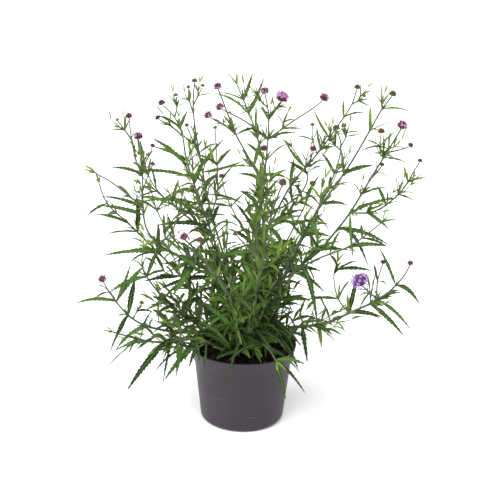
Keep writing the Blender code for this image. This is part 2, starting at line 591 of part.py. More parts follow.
def make_leaf(leaf, home):
    """A keeled blade lofted over its ribs, its edge cut into teeth that point to the tip."""
    chord = leaf["tip"] - leaf["root"]
    toothed = chord.length > TOOTHED_LEAF
    ribs = next(places for least, places in RIBS if chord.length > least)
    level = chord.cross(Vector((0, 0, 1))).normalized()
    solid = bmesh.new()

    def section(s, share):
        """The left edge, the right edge and the keel at a place along the midrib."""
        ahead = (midrib(leaf, min(1, s + 0.05)) - midrib(leaf, s - 0.05)).normalized()
        side = Matrix.Rotation(leaf["plane"] + leaf["twist"] * s, 3, ahead) @ level
        half = max(0.0006, leaf["width"] / 2 * leaf_width_at(s) * share)
        keel = side.cross(ahead) * LEAF_KEEL
        return [solid.verts.new(midrib(leaf, s) + off) for off in (-side * half, side * half, -keel)]

    rows = [section(s, 0.35 if s == 0 else 0.80 if toothed else 1.0) for s in ribs]
    for i, (a, b) in enumerate(zip(rows, rows[1:])):
        if not (toothed and i):
            for j, k in ((0, 1), (1, 2), (2, 0)):
                solid.faces.new((a[j], a[k], b[k], b[j]))
            continue
        left, right, spare = section(ribs[i] + 0.74 * (ribs[i + 1] - ribs[i]), 1.20)
        solid.verts.remove(spare)
        for face in ((a[0], a[1], right, left), (left, right, b[1], b[0])):
            solid.faces.new(face)
        for edge, tooth in ((0, left), (1, right)):
            for face in ((a[2], a[edge], tooth), (a[2], tooth, b[2]), (b[2], tooth, b[edge])):
                solid.faces.new(face)
    point = solid.verts.new(leaf["tip"])
    for j in range(3):
        solid.faces.new((rows[-1][j], rows[-1][(j + 1) % 3], point))
    solid.faces.new(rows[0])
    bmesh.ops.triangulate(solid, faces=solid.faces)
    bmesh.ops.recalc_face_normals(solid, faces=solid.faces)
    return from_bmesh("leaf", solid, home)


def make_bud(stalk, home):
    """A small green bud over a twig's tip."""
    width = stalk["head"][1] * MM
    solid = bmesh.new()
    bmesh.ops.create_uvsphere(solid, u_segments=6, v_segments=2, radius=width / 2)
    bmesh.ops.scale(solid, vec=(0.9, 0.9, 1.1), verts=solid.verts)
    turn = head_axis(stalk).to_track_quat("Z", "X").to_matrix().to_4x4()
    solid.transform(Matrix.Translation(stalk["line"][-1] + head_axis(stalk) * 0.3 * width) @ turn)
    return from_bmesh("bud", solid, home)


def make_head(name, stalk, home, material):
    """A dome of pointed calyces, with star-shaped florets that stand out of it where it is open."""
    kind, width = stalk["head"][0], stalk["head"][1] * MM
    lift = GAP + 0.30 * width
    core = bmesh.new()
    bmesh.ops.create_icosphere(core, subdivisions=2 if kind == "open" else 1, radius=width * 0.36)
    core.normal_update()
    sites = []
    count = {"calyx": 0, "part": 3, "open": 7}[kind]
    for i in range(count):
        polar, around = math.radians(14 + 74 * math.sqrt((i + 0.5) / count)), 2.4 * i
        aim = Vector((math.sin(polar) * math.cos(around), math.sin(polar) * math.sin(around), math.cos(polar)))
        sites.append(max((f for f in core.faces if f not in sites), key=lambda f: f.normal.dot(aim)))
    aims = [f.normal.copy() for f in sites]
    bmesh.ops.poke(core, faces=[f for f in core.faces if f not in sites and f.normal.z > -0.5],
                   offset=width * (0.09 if kind == "open" else 0.16))
    bmesh.ops.translate(core, vec=(0, 0, lift), verts=core.verts)
    everything = core.verts[:] + core.edges[:] + core.faces[:]
    bmesh.ops.bisect_plane(core, geom=everything, plane_co=(0, 0, GAP), plane_no=(0, 0, 1), clear_inner=True)
    bmesh.ops.holes_fill(core, edges=[e for e in core.edges if e.is_boundary], sides=0)
    pieces = [from_bmesh("core", core, home)]
    for aim in aims:
        floret = bmesh.new()
        bmesh.ops.create_cone(floret, cap_ends=True, segments=10, radius1=0, radius2=0.0034,
                              depth=width * 0.46, matrix=Matrix.Translation((0, 0, width * 0.33)))
        for j, vert in enumerate(v for v in floret.verts if v.co.z > width * 0.33):
            if j % 2:
                vert.co.x, vert.co.y = vert.co.x * 0.55, vert.co.y * 0.55
        bmesh.ops.recalc_face_normals(floret, faces=floret.faces)
        floret.transform(Matrix.Translation((0, 0, lift)) @ aim.to_track_quat("Z", "X").to_matrix().to_4x4())
        pieces.append(from_bmesh("floret", floret, home))
    head = fuse(name, pieces, home)
    aim = head_axis(stalk).to_track_quat("Z", "X").to_matrix().to_4x4()
    head.matrix_world = Matrix.Translation(head_foot(stalk)) @ aim
    head.data.materials.clear()
    head.data.materials.append(material)
    return head


def main():
    for item in list(bpy.data.objects):
        bpy.data.objects.remove(item)
    home = bpy.data.collections.new("verbena")
    drains = bpy.data.collections.new("pot_cutters")
    holes = bpy.data.collections.new("soil_cutters")
    for group in (home, drains, holes):
        bpy.context.scene.collection.children.link(group)

    make_pot(home, drains, paint("taupe_plastic", (0.100, 0.091, 0.103), 0.45))
    make_soil(home, holes, paint("peat", (0.020, 0.013, 0.009), 0.95))

    foliage = paint("foliage", (0.075, 0.150, 0.040), 0.60)
    maroon = paint("maroon_calyx", (0.115, 0.030, 0.060), 0.60)
    lilac = paint("lilac_florets", (0.420, 0.200, 0.450), 0.60)
    found = stalks()
    leaves = plan_leaves(found)
    for name in STEMS:
        pieces = [make_stalk(s, home) for s in found if s["stem"] == name]
        pieces += [make_leaf(l, home) for l in leaves if l["stem"] == name
                   and (l["tip"] - l["root"]).length > SMALLEST_LEAF]
        pieces += [make_bud(s, home) for s in found if s["stem"] == name and s["head"] and s["head"][0] == "bud"]
        stem = fuse("stem_" + name, pieces, home)
        stem.data.materials.clear()
        stem.data.materials.append(foliage)
    headed = [s for s in found if s["head"] and s["head"][0] != "bud"]
    for name in STEMS:
        for i, stalk in enumerate(s for s in headed if s["stem"] == name):
            tone = lilac if stalk["head"][0] == "open" else maroon
            make_head(f"head_{name}_{i + 1}", stalk, home, tone)


main()
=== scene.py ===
"""The looks of a tall garden verbena in its nursery pot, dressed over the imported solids.

Metres, +Z up, in the solids' own frame, with free-form places in millimetres. The file follows the
plant as it is put together: pot, soil, leafy stems, flower heads, then floor, light and camera.
"""

import random
from math import acos, copysign, cos, dist, exp, hypot, pi, radians, sin, sqrt, tau

import bmesh
import bpy
import numpy as np
from mathutils import Matrix, Vector, noise


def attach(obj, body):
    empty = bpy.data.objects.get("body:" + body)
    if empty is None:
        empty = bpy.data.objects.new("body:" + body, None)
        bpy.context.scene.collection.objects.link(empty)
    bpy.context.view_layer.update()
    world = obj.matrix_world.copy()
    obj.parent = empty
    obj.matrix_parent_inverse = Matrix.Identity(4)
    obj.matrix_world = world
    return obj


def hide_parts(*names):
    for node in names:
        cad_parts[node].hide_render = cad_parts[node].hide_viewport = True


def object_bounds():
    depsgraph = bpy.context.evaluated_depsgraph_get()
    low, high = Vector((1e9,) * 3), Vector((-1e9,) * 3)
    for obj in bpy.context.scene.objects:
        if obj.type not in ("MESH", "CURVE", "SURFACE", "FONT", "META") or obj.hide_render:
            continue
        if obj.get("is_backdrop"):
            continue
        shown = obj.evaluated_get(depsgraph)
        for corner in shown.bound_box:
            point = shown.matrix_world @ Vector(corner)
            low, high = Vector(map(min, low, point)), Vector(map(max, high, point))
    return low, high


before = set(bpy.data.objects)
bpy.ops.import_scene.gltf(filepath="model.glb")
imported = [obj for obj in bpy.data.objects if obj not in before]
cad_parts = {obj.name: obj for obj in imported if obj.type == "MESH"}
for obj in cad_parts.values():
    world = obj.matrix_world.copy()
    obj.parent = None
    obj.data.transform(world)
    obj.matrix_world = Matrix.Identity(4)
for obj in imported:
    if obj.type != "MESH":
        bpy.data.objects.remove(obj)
solid_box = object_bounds()


# The pot
# One thin injection-moulded nursery pot in taupe-grey plastic: a collar band round the rim, a
# rounded foot and drain holes. Its satin skin shows faint mould rings, scuffs and a little soil dust.
MM = 0.001
RIM_RADIUS = 0.0950
POT_HEIGHT = 0.1430
COLLAR_HEIGHT = 0.0270
COLLAR_FOOT_RADIUS = 0.0890
BODY_TOP_RADIUS = 0.0868
BODY_FOOT_RADIUS = 0.0752
FOOT_CORNER, INNER_CORNER = 0.0100, 0.0080
WALL = 0.0015
FLOOR_THICKNESS = 0.0022
DRAIN_COUNT, DRAIN_RADIUS, DRAIN_RING = 6, 0.0050, 0.0500
FLAT_FLOOR = 0.0460             # the ring of points on the floor, inside the rounded foot
POT_SEGMENTS = 96
TAUPE_DEEP, TAUPE_CLOUD = (0.0189, 0.01512, 0.01974), (0.0275, 0.0225, 0.0290)
TAUPE_WORN, SOIL_DUST = (0.075, 0.070, 0.076), (0.045, 0.030, 0.020)


class Shade:
    """One socket among a finish's nodes. Sums and products of these add Math nodes."""

    def __init__(self, tree, socket=None):
        self.tree, self.socket = tree, socket

    def feed(self, socket, value):
        if isinstance(value, Shade):
            self.tree.links.new(value.socket, socket)
        elif isinstance(value, tuple) and len(socket.default_value) > len(value):
            socket.default_value = (*value, 1.0)
        else:
            socket.default_value = value

    def node(self, kind, settings=(), inputs=(), out=0):
        """Any other node: its settings come first, then the values or links of its sockets."""
        made = self.tree.nodes.new("ShaderNode" + kind)
        for key, value in dict(settings).items():
            setattr(made, key, value)
        for key, value in dict(inputs).items():
            self.feed(made.inputs[key], value)
        return Shade(self.tree, made.outputs[out])

    def math(self, operation, *others):
        return self.node("Math", {"operation": operation}, enumerate((self, *others)))

    def __add__(self, other):
        return self.math("ADD", other)

    def __sub__(self, other):
        return self.math("SUBTRACT", other)

    def __rsub__(self, other):
        return self.node("Math", {"operation": "SUBTRACT"}, {0: other, 1: self})

    def __mul__(self, other):
        return self.math("MULTIPLY", other)

    __radd__, __rmul__ = __add__, __mul__

    def rise(self, low, high):
        """0 up to low, 1 from high on, and smooth between; low may be the greater."""
        return self.node("MapRange", {"interpolation_type": "SMOOTHSTEP"},
                         {"Value": self, "From Min": low, "From Max": high})

    def mix(self, base, other):
        """This mask's blend of two colours, the base colour where it is 0."""
        return self.node("Mix", {"data_type": "RGBA"}, {0: self, 6: base, 7: other}, out=2)

    def place(self):
        return self.node("TexCoord", out="Object")

    def stretched(self, scale):
        return self.node("VectorMath", {"operation": "MULTIPLY"}, {0: self.place(), 1: scale})

    def clouds(self, scale, detail=2.0, place=None):
        return self.node("TexNoise", inputs={"Vector": place or self.place(), "Scale": scale,
                                             "Detail": detail}, out="Fac")

    def carried(self, name):
        """A value that the mesh carries at each point."""
        return self.node("Attribute", {"attribute_name": name}, out="Fac")

    def dress(self, colour, roughness, relief, depth):
        shader = self.tree.nodes["Principled BSDF"]
        self.feed(shader.inputs["Base Color"], colour)
        self.feed(shader.inputs["Roughness"], roughness)
        bump = self.node("Bump", inputs={"Height": relief, "Distance": depth}, out="Normal")
        self.feed(shader.inputs["Normal"], bump)


def new_finish(name, gloss=0.5):
    """A new material, and the place from which its nodes are added."""
    material = bpy.data.materials.new(name)
    material.use_nodes = True
    material.node_tree.nodes["Principled BSDF"].inputs["Specular IOR Level"].default_value = gloss
    return material, Shade(material.node_tree)


def placed(name, data):
    """A new object in the scene that holds a mesh, light or camera."""
    item = bpy.data.objects.new(name, data)
    bpy.context.scene.collection.objects.link(item)
    return item


def shaped(name, shape):
    """A new object that takes over the mesh built up in shape."""
    mesh = bpy.data.meshes.new(name)
    shape.to_mesh(mesh)
    shape.free()
    return placed(name, mesh)


def round_at(radius, turn):
    """x and y on a circle about the axis."""
    return radius * cos(turn), radius * sin(turn)


def realised(item):
    """The object with its modifiers worked into its mesh."""
    bpy.context.view_layer.update()
    mesh = bpy.data.meshes.new_from_object(item.evaluated_get(bpy.context.evaluated_depsgraph_get()))
    item.modifiers.clear()
    item.data = mesh
    return item


def turned(name, profile, segments):
    """A profile in the XZ plane, from the top down its outside, turned about Z."""
    shape = bmesh.new()
    points = [shape.verts.new((r, 0, z)) for r, z in profile]
    for a, b in zip(points, points[1:]):
        shape.edges.new((a, b))
    item = shaped(name, shape)
    screw = item.modifiers.new("Turn", "SCREW")
    screw.steps = screw.render_steps = segments
    screw.use_merge_vertices = True
    screw.merge_threshold = 0.00001
    return realised(item)


def drain_plugs():
    """The six round pins that leave the drain holes."""
    shape = bmesh.new()
    for i in range(DRAIN_COUNT):
        centre = Matrix.Translation((*round_at(DRAIN_RING, tau * (i + 0.5) / DRAIN_COUNT), 0))
        bmesh.ops.create_cone(shape, cap_ends=True, segments=28, radius1=DRAIN_RADIUS,
                              radius2=DRAIN_RADIUS, depth=0.02, matrix=centre)
    return shaped("drain_plugs", shape)


def pot_profile():
    """The wall's outline: out along the inside, over the rim, down the outside and back below."""
    shoulder = POT_HEIGHT - COLLAR_HEIGHT

    def near(radius, height, *strays):
        """Points given by how far they stray outward and up from a corner."""
        return [(radius + out, height + up) for out, up in strays]

    outline = [(0, FLOOR_THICKNESS), (FLAT_FLOOR, FLOOR_THICKNESS)]
    outline += [(BODY_FOOT_RADIUS - WALL - INNER_CORNER * (1 - sin(a)),
                 FLOOR_THICKNESS + INNER_CORNER * (1 - cos(a)))
                for a in (radians(d) for d in range(0, 91, 18))]
    outline += near(BODY_TOP_RADIUS - WALL, shoulder, (0, -0.003), (0.0006, 0))
    outline += near(COLLAR_FOOT_RADIUS - WALL, shoulder, (0, 0.002))
    outline += near(RIM_RADIUS, POT_HEIGHT, (-WALL, -0.0008), (-0.0011, -0.0002), (-0.0007, 0),
                    (-0.0002, -0.0004), (0, -0.0011), (-0.0003, -0.0028), (-0.0010, -0.0036))
    outline += near(COLLAR_FOOT_RADIUS, shoulder, (0.0003, 0.0010), (0, 0.0002), (-0.0007, -0.0006))
    outline += near(BODY_TOP_RADIUS, shoulder, (0.0004, -0.0012), (0, -0.0022))
    outline += [(BODY_TOP_RADIUS + (BODY_FOOT_RADIUS - BODY_TOP_RADIUS) * t,
                 shoulder - 0.0022 + (FOOT_CORNER - shoulder + 0.0022) * t) for t in (0.25, 0.5, 0.75)]
    outline += [(BODY_FOOT_RADIUS - FOOT_CORNER * (1 - cos(a)), FOOT_CORNER * (1 - sin(a)))
                for a in (radians(d) for d in range(0, 91, 10))]
    return outline + [(FLAT_FLOOR, 0), (0, 0)]


pot = turned("pot_moulded", pot_profile(), POT_SEGMENTS)
plugs = drain_plugs()
cut = pot.modifiers.new("Drain holes", "BOOLEAN")
cut.operation, cut.solver, cut.object = "DIFFERENCE", "EXACT", plugs
realised(pot)
bpy.data.objects.remove(plugs)
pot.data.shade_smooth()
pot.data.set_sharp_from_angle(angle=radians(38))

taupe_plastic, skin = new_finish("taupe_plastic", 0.26)
height = skin.node("SeparateXYZ", inputs={0: skin.place()}, out="Z")
cloudy = skin.clouds(38, 3)
scuffs = (skin.clouds(24, 5, skin.stretched((1, 1, 9))).rise(0.655, 0.70)
          * skin.clouds(31, 1).rise(0.50, 0.62))
mould_rings = (height * 900 + skin.clouds(60) * 1.5).math("SINE")
soil_mist = skin.clouds(420, 4).rise(0.58, 0.70) * height.rise(0.118, 0.146)
tone = cloudy.mix(TAUPE_DEEP, TAUPE_CLOUD)
skin.dress((soil_mist * 0.5).mix((scuffs * 0.55).mix(tone, TAUPE_WORN), SOIL_DUST),
           0.40 + 0.14 * cloudy + 0.2 * scuffs + 0.25 * soil_mist,
           mould_rings * 0.10 + skin.clouds(1400, 2) * 0.25 + scuffs * 0.3, 0.00025)
pot.data.materials.clear()
pot.data.materials.append(taupe_plastic)
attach(pot, "root")
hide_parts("pot")


# The soil
# The root ball and dark peat that fill the pot to just under the rim, with bark chips and crumbs
# heaped a little at the right-hand rim and red-brown coir fibres lying loose on top.
SOIL_TOP = 0.1270
SOIL_RELIEF = 0.0022
ROOT_DEPTH = 0.0120
BED_RINGS, BED_SEGMENTS = 54, 150
CRUMBS, CHIPS, FIBRES = 820, 200, 420
LOOSE_REACH, FIBRE_REACH = 0.0835, 0.0842       # how far out crumbs and fibres may lie
HEAP = (0.070, 0.022)           # the middle of the heap at the rim
PEAT_DARK, PEAT_BROWN, PEAT_WET = (0.003, 0.002, 0.0015), (0.012, 0.008, 0.005), (0.005, 0.0035, 0.003)
CHIP_DARK, CHIP_RED = (0.009, 0.005, 0.0035), (0.105, 0.040, 0.020)
COIR_DARK, COIR = (0.030, 0.013, 0.007), (0.150, 0.075, 0.034)


class Growth:
    """Gathers the points and faces of one piece, with the values that its finishes read."""

    CARRIED = ("along", "across", "tone", "youth")

    def __init__(self):
        self.points, self.faces, self.finish, self.values = [], [], [], []

    def patch(self, points, faces, values, finish):
        """finish is one finish for all of the faces, or one for each."""
        start = len(self.points)
        self.points.extend(points)
        self.values.extend(values)
        self.faces.extend(tuple(start + i for i in face) for face in faces)
        self.finish.extend(finish if isinstance(finish, list) else [finish] * len(faces))

    def loft(self, rings, values, finish, tip, tip_values):
        """Rings of points joined one to the next, closed at the start and drawn to a tip.

        finish has one finish for each side of a ring."""
        size = len(rings[0])
        faces, worn = [tuple(range(size))], [finish[0]]
        for r in range(len(rings) - 1):
            for j in range(size):
                a, b = r * size + j, r * size + (j + 1) % size
                faces.append((a, b, b + size, a + size))
                worn.append(finish[j])
        last = (len(rings) - 1) * size
        for j in range(size):
            faces.append((last + j, last + (j + 1) % size, last + size))
            worn.append(finish[j])
        self.patch([p for ring in rings for p in ring] + [tip], faces, values + [tip_values], worn)

    def piece(self, name, finishes, crease=52):
        mesh = bpy.data.meshes.new(name)
        mesh.from_pydata(self.points, [], self.faces)
        mesh.polygons.foreach_set("material_index", np.array(self.finish, np.int32))
        carried = np.array(self.values, np.float32)
        for i, key in enumerate(self.CARRIED):
            mesh.attributes.new(key, "FLOAT", "POINT").data.foreach_set("value", carried[:, i].copy())
        for material in finishes:
            mesh.materials.append(material)
        shape = bmesh.new()
        shape.from_mesh(mesh)
        bmesh.ops.recalc_face_normals(shape, faces=shape.faces)
        shape.to_mesh(mesh)
        shape.free()
        mesh.shade_smooth()
        mesh.set_sharp_from_angle(angle=radians(crease))
        return placed(name, mesh)


def soil_height(x, y):
    """The solid's low relief."""
    lumps = sin(95 * x + 1.3) * cos(83 * y - 0.4) + 0.6 * sin(171 * y + 140 * x)
    return SOIL_TOP + SOIL_RELIEF * (0.42 * lumps + 0.35 * cos(34 * hypot(x, y)))


def heap_at(x, y):
    """How much the loose peat is heaped at a place, from 0 to 1."""
    return exp(-((x - HEAP[0]) ** 2 + (y - HEAP[1]) ** 2) / 0.00045)


def bed_height(x, y):
    rough = noise.fractal(Vector((x, y, 0.3)) * 160, 0.8, 2.1, 4) * 0.0011
    crumbly = abs(noise.noise(Vector((x, y, 7.0)) * 420)) * 0.0009
    return soil_height(x, y) + rough + crumbly + 0.0065 * heap_at(x, y)


def soil_bed():
    """The peat's top as a fine crumbly sheet, closed down the sides and across the bottom."""
    edge = BODY_TOP_RADIUS - WALL - 0.0003
    foot = BODY_FOOT_RADIUS - WALL - 0.0013
    profile = [(edge * (i + 1) / BED_RINGS, None) for i in range(BED_RINGS)]
    profile += [(edge - 0.0006, POT_HEIGHT - COLLAR_HEIGHT - 0.004), (foot, FOOT_CORNER + 0.001),
                (BODY_FOOT_RADIUS - FOOT_CORNER - 0.0015, FLOOR_THICKNESS + 0.0003)]
    rings = []
    for radius, z in reversed(profile):
        ring = [round_at(radius, tau * j / BED_SEGMENTS) for j in range(BED_SEGMENTS)]
        rings.append([(x, y, bed_height(x, y) if z is None else z) for x, y in ring])
    bed = Growth()
    count = len(rings) * BED_SEGMENTS
    bed.loft(rings, [(0, 0, 0, 0)] * count, [0] * BED_SEGMENTS, (0, 0, bed_height(0, 0)), (0, 0, 0, 0))
    return bed


def ball(level):
    """The points and faces of a small faceted ball."""
    shape = bmesh.new()
    bmesh.ops.create_icosphere(shape, subdivisions=level, radius=1.0)
    shape.verts.index_update()
    points = [v.co.copy() for v in shape.verts]
    faces = [tuple(v.index for v in f.verts) for f in shape.faces]
    shape.free()
    return points, faces


def drawn_in(x, y, limit):
    """A place, moved in to the limit round the axis where it lies past it."""
    reach = hypot(x, y)
    return (x * limit / reach, y * limit / reach) if reach > limit else (x, y)


def scattered(rng, near_heap):
    """A random place on the soil, and the height there."""
    if near_heap:
        x, y = HEAP[0] + rng.gauss(0, 0.010), HEAP[1] + rng.gauss(0, 0.016)
    else:
        angle, radius = rng.uniform(0, tau), LOOSE_REACH * sqrt(rng.random())
        x, y = round_at(radius, angle)
    x, y = drawn_in(x, y, LOOSE_REACH)
    return Vector((x, y, bed_height(x, y)))


def loose_chips(rng):
    """Crumbs of peat and flat chips of bark, each a lump of its own."""
    lumps, balls = Growth(), (ball(1), ball(2))
    for i in range(CRUMBS + CHIPS):
        chip = i >= CRUMBS
        points, faces = balls[chip]
        size = rng.uniform(0.0013, 0.0036) if chip else rng.uniform(0.0004, 0.0012)
        shape = Vector((rng.uniform(1.0, 1.9), rng.uniform(0.5, 0.9), rng.uniform(0.25, 0.5))) if chip \
            else Vector((1.0, rng.uniform(0.7, 1.0), rng.uniform(0.6, 0.9)))
        place = scattered(rng, rng.random() < (0.34 if chip else 0.12))
        place.z += size * 0.15 + (rng.uniform(0, 0.0035) if chip else 0) * heap_at(place.x, place.y)
        turn = (Matrix.Rotation(rng.uniform(0, tau), 3, "Z")
                @ Matrix.Rotation(rng.uniform(-0.6, 0.6), 3, "X"))
        offset = Vector((rng.uniform(0, 50), 0, 0))
        made = [place + turn @ (p * shape) * size * (1 + 0.34 * noise.noise(p * 1.7 + offset))
                for p in points]
        tone = rng.random() ** (3.0 if chip else 4.0)
        lumps.patch(made, faces, [(0, 0, tone, float(chip))] * len(made), 0)
    return lumps


def frames(line):
    """Each place on a line with its direction and two directions across, led on without a twist."""
    side = None
    for i, place in enumerate(line):
        ahead = (line[min(i + 1, len(line) - 1)] - line[max(i - 1, 0)]).normalized()
        side = ahead.orthogonal() if side is None else side - ahead * side.dot(ahead)
        side.normalize()
        yield place, ahead, side, ahead.cross(side)


def swung(start, goal, turn):
    """The direction reached by a turn from one direction towards another square to it."""
    return start * cos(turn) + goal * sin(turn)


def thread(growth, line, radii, sides, values, finish):
    """A thin round strand along a line, drawn to a point; values belong to each place of the line."""
    rings, carried = [], []
    for (place, _, side, other), radius, value in zip(frames(line), radii, values):
        rings.append([place + swung(side, other, tau * j / sides) * radius for j in range(sides)])
        carried += [value] * sides
    growth.loft(rings[:-1], carried[:-sides], [finish] * sides, line[-1], values[-1])


def coir_fibres(rng):
    fibres = Growth()
    for _ in range(FIBRES):
        place = scattered(rng, rng.random() < 0.22)
        heading, length = rng.uniform(0, tau), rng.uniform(0.004, 0.015)
        bend, arch, tone = rng.uniform(-1.6, 1.6), rng.uniform(0.0002, 0.0022), rng.random()
        line = []
        for i in range(6):
            s = i / 5
            heading += bend / 5
            line.append(place + Vector((0, 0, 0.0004 + arch * 4 * s * (1 - s))))
            place = place + Vector((*round_at(1, heading), 0)) * length / 5
            place = Vector((*drawn_in(place.x, place.y, FIBRE_REACH), 0))
            place.z = bed_height(place.x, place.y)
        radius = rng.uniform(0.00008, 0.00020)
        thread(fibres, line, [radius] * 6, 4, [(s, 0, tone, 0) for s in (0, .2, .4, .6, .8, 1)], 0)
    return fibres


peat, surface = new_finish("peat", 0.08)
coarse, fine = surface.clouds(210, 5), surface.clouds(900, 3)
damp = surface.clouds(28, 2).rise(0.42, 0.60)
surface.dress(damp.mix(fine.rise(0.40, 0.75).mix(PEAT_DARK, PEAT_BROWN), PEAT_WET),
              0.98 - 0.22 * damp, coarse + fine * 0.6, 0.0011)
bark, surface = new_finish("bark_chips", 0.12)
warmth = surface.carried("tone") * surface.carried("youth")
grain = surface.clouds(330, 4, surface.stretched((1, 3.5, 1)))
surface.dress((warmth * 0.9 + grain * 0.25).rise(0.15, 1.05).mix(CHIP_DARK, CHIP_RED),
              0.80 + 0.15 * grain, grain, 0.0005)
coir, surface = new_finish("coir_fibre", 0.12)
shade = surface.clouds(500, 2)
surface.dress((surface.carried("tone") * 0.7 + shade * 0.4).mix(COIR_DARK, COIR), 0.75,
              shade, 0.0002)

grower = random.Random(5)
bed = soil_bed().piece("soil_bed", [peat], 60)
crumbs = loose_chips(grower).piece("soil_chips", [bark], 60)
fibres = coir_fibres(grower).piece("soil_fibres", [coir])
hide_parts("soil")
for item in (bed, crumbs, fibres):
    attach(item, "root")


# The leafy stems: where everything stands
# 21 stems and shoots grow from the crown, square and wiry, with forked twigs and opposite leaves.
# Their places are the solids' own: the same chosen points, and the same seeded rule for the rest.
SEED, TRIES = 23, 26            # a leaf that finds no clear place in so many tries is left out
GAP = 0.0003                    # air between a head and its stalk
STALK_FOOT, STALK_TIP = 0.0028, 0.0013          # a stem's radii
TWIG_FOOT, TWIG_TIP = 0.0017, 0.0010            # a side branch's radii
STALK_STEP = 0.0500             # the step of the solids' own lines
DRAWN_STEP, EASING = 0.0030, 24                 # the drawn lines' step, and how often they are eased
LEAF_LOW, LEAF_HIGH = 0.0880, 0.0460            # lengths of leaves, low and high on the plant
INTERNODE_LOW, INTERNODE_HIGH = 0.0440, 0.0900  # from one pair of leaves to the next
LOW_AT, HEIGHT_SPAN = 0.150, 0.420              # growth changes with height from here, over this
FIRST_NODE = 0.0300             # from a stem's foot to its first pair
BARE_STEM_END, BARE_TWIG_END = 0.0300, 0.0120
SHORT_TWIG = 0.0900             # a shorter side branch has one pair, half way along
NODE_TAKEN = 0.0160             # no pair by the rule stands this near to a chosen leaf
LEAF_CLEARANCE = 0.0016         # kept between the leaves and stalks of different stems
OWN_REACH = 0.0150              # this near to its root, a leaf may touch its own stem's growth
WIDEST = 0.2900                 # no leaf by the rule reaches farther to either side
LEAF_SAMPLE, STALK_SAMPLE = 0.0050, 0.0030
HEAD_ROOM = 0.55                # what is kept clear round a head's middle, as a share of its width
GROUND_ROOM, RIM_ROOM, INNER_RIM_ROOM = 0.010, 0.001, 0.007

# Each stem: its root in the soil (x, y), the points that it passes, and the head at its tip as
# (kind, width), or None for a growing tip. A head is closed calyces, part open, open, or a green bud.
STEMS = {
    "left_arch": ((-14, 2), ((-12, 4, 180), (-24, 6, 232), (-66, 10, 276), (-106, 13, 295), (-150, 17, 318),
        (-175, 19, 350), (-180, 23, 400), (-180, 26, 445), (-184, 28, 487), (-187, 30, 505)), ("part", 17)),
    "left_back": ((-14, 14), ((-20, 26, 190), (-41, 45, 273), (-73, 73, 357), (-108, 103, 447),
        (-116, 117, 490), (-131, 128, 522), (-153, 138, 540)), ("calyx", 13)),
    "left_upright": ((-4, 11), ((-6, 12, 190), (-38, 22, 300), (-65, 32, 390), (-80, 42, 465),
        (-89, 48, 511), (-95, 54, 560), (-93, 60, 600)), ("calyx", 9)),
    "centre_front": ((2, -10), ((10, -14, 220), (22, -20, 350), (26, -25, 440), (5, -28, 490),
        (-19, -32, 534), (-36, -36, 578), (-49, -40, 612)), ("part", 14)),
    "centre": ((6, 4), ((18, 4, 200), (21, 7, 298), (21, 10, 372), (30, 13, 447), (35, 16, 515),
        (35, 18, 560), (28, 20, 592)), ("part", 15)),
    "centre_back": ((2, 20), ((14, 50, 220), (30, 90, 330), (37, 121, 401), (26, 143, 449), (13, 164, 492),
        (1, 177, 520), (-22, 200, 567)), None),
    "right_back": ((14, 18), ((50, 55, 220), (99, 109, 301), (135, 146, 358), (164, 181, 415),
        (174, 205, 457), (165, 219, 480)), ("calyx", 14)),
    "right_inner": ((19, 7), ((24, 16, 220), (29, 28, 319), (51, 37, 372), (79, 47, 427), (122, 58, 479),
        (163, 70, 538), (180, 75, 565), (187, 80, 590)), ("calyx", 11)),
    "right_tall": ((25, -3), ((60, -6, 250), (114, -10, 380), (138, -12, 423), (173, -14, 480),
        (205, -17, 544), (222, -19, 580), (237, -20, 602)), ("calyx", 13)),
    "right_arch": ((18, -14), ((54, -20, 230), (92, -24, 297), (121, -30, 324), (145, -35, 357),
        (176, -44, 406), (207, -54, 471), (233, -63, 524), (250, -70, 560)), ("part", 18)),
    "right_low": ((26, -22), ((46, -26, 162), (84, -30, 186), (123, -44, 198), (153, -56, 212),
        (181, -68, 233), (227, -88, 266), (246, -97, 287), (267, -111, 322), (273, -118, 342)), ("calyx",
        10)),
    "left_low": ((-24, -9), ((-60, -16, 162), (-94, -26, 174), (-124, -34, 176), (-165, -46, 189),
        (-195, -55, 209), (-219, -66, 243), (-232, -72, 267), (-239, -78, 284)), ("part", 15)),
    "left_shoot": ((-22, -21), ((-60, -42, 160), (-101, -64, 176), (-134, -86, 178), (-170, -110, 192),
        (-216, -138, 218)), None),
    "left_mid": ((-34, 0), ((-56, -4, 168), (-104, -12, 194), (-126, -16, 216), (-156, -21, 252),
        (-178, -27, 292), (-175, -30, 325)), None),
    "left_outer": ((-26, 12), ((-60, 22, 190), (-120, 32, 262), (-164, 38, 306), (-207, 46, 347),
        (-246, 54, 380), (-260, 60, 416)), None),
    "front_left": ((-8, -26), ((-14, -56, 200), (-22, -92, 262), (-47, -150, 329), (-77, -211, 394),
        (-92, -246, 424)), ("part", 13)),
    "front_right": ((8, -23), ((16, -56, 210), (29, -112, 343), (40, -165, 431), (50, -199, 482),
        (56, -219, 506)), ("calyx", 14)),
    "back_left": ((-10, 29), ((-28, 70, 190), (-55, 120, 245), (-82, 180, 290), (-98, 225, 325),
        (-104, 245, 350)), ("calyx", 13)),
    "back_right": ((11, 32), ((30, 80, 190), (60, 140, 250), (92, 195, 300), (116, 232, 340),
        (124, 248, 362)), ("calyx", 13)),
    "back_mid": ((0, 42), ((4, 90, 200), (12, 150, 280), (22, 210, 350), (28, 248, 398), (30, 264, 424)),
        ("part", 16)),
    "rim_shoot": ((16, -34), ((26, -50, 160), (36, -70, 172), (48, -94, 170), (58, -110, 158)), None),
}

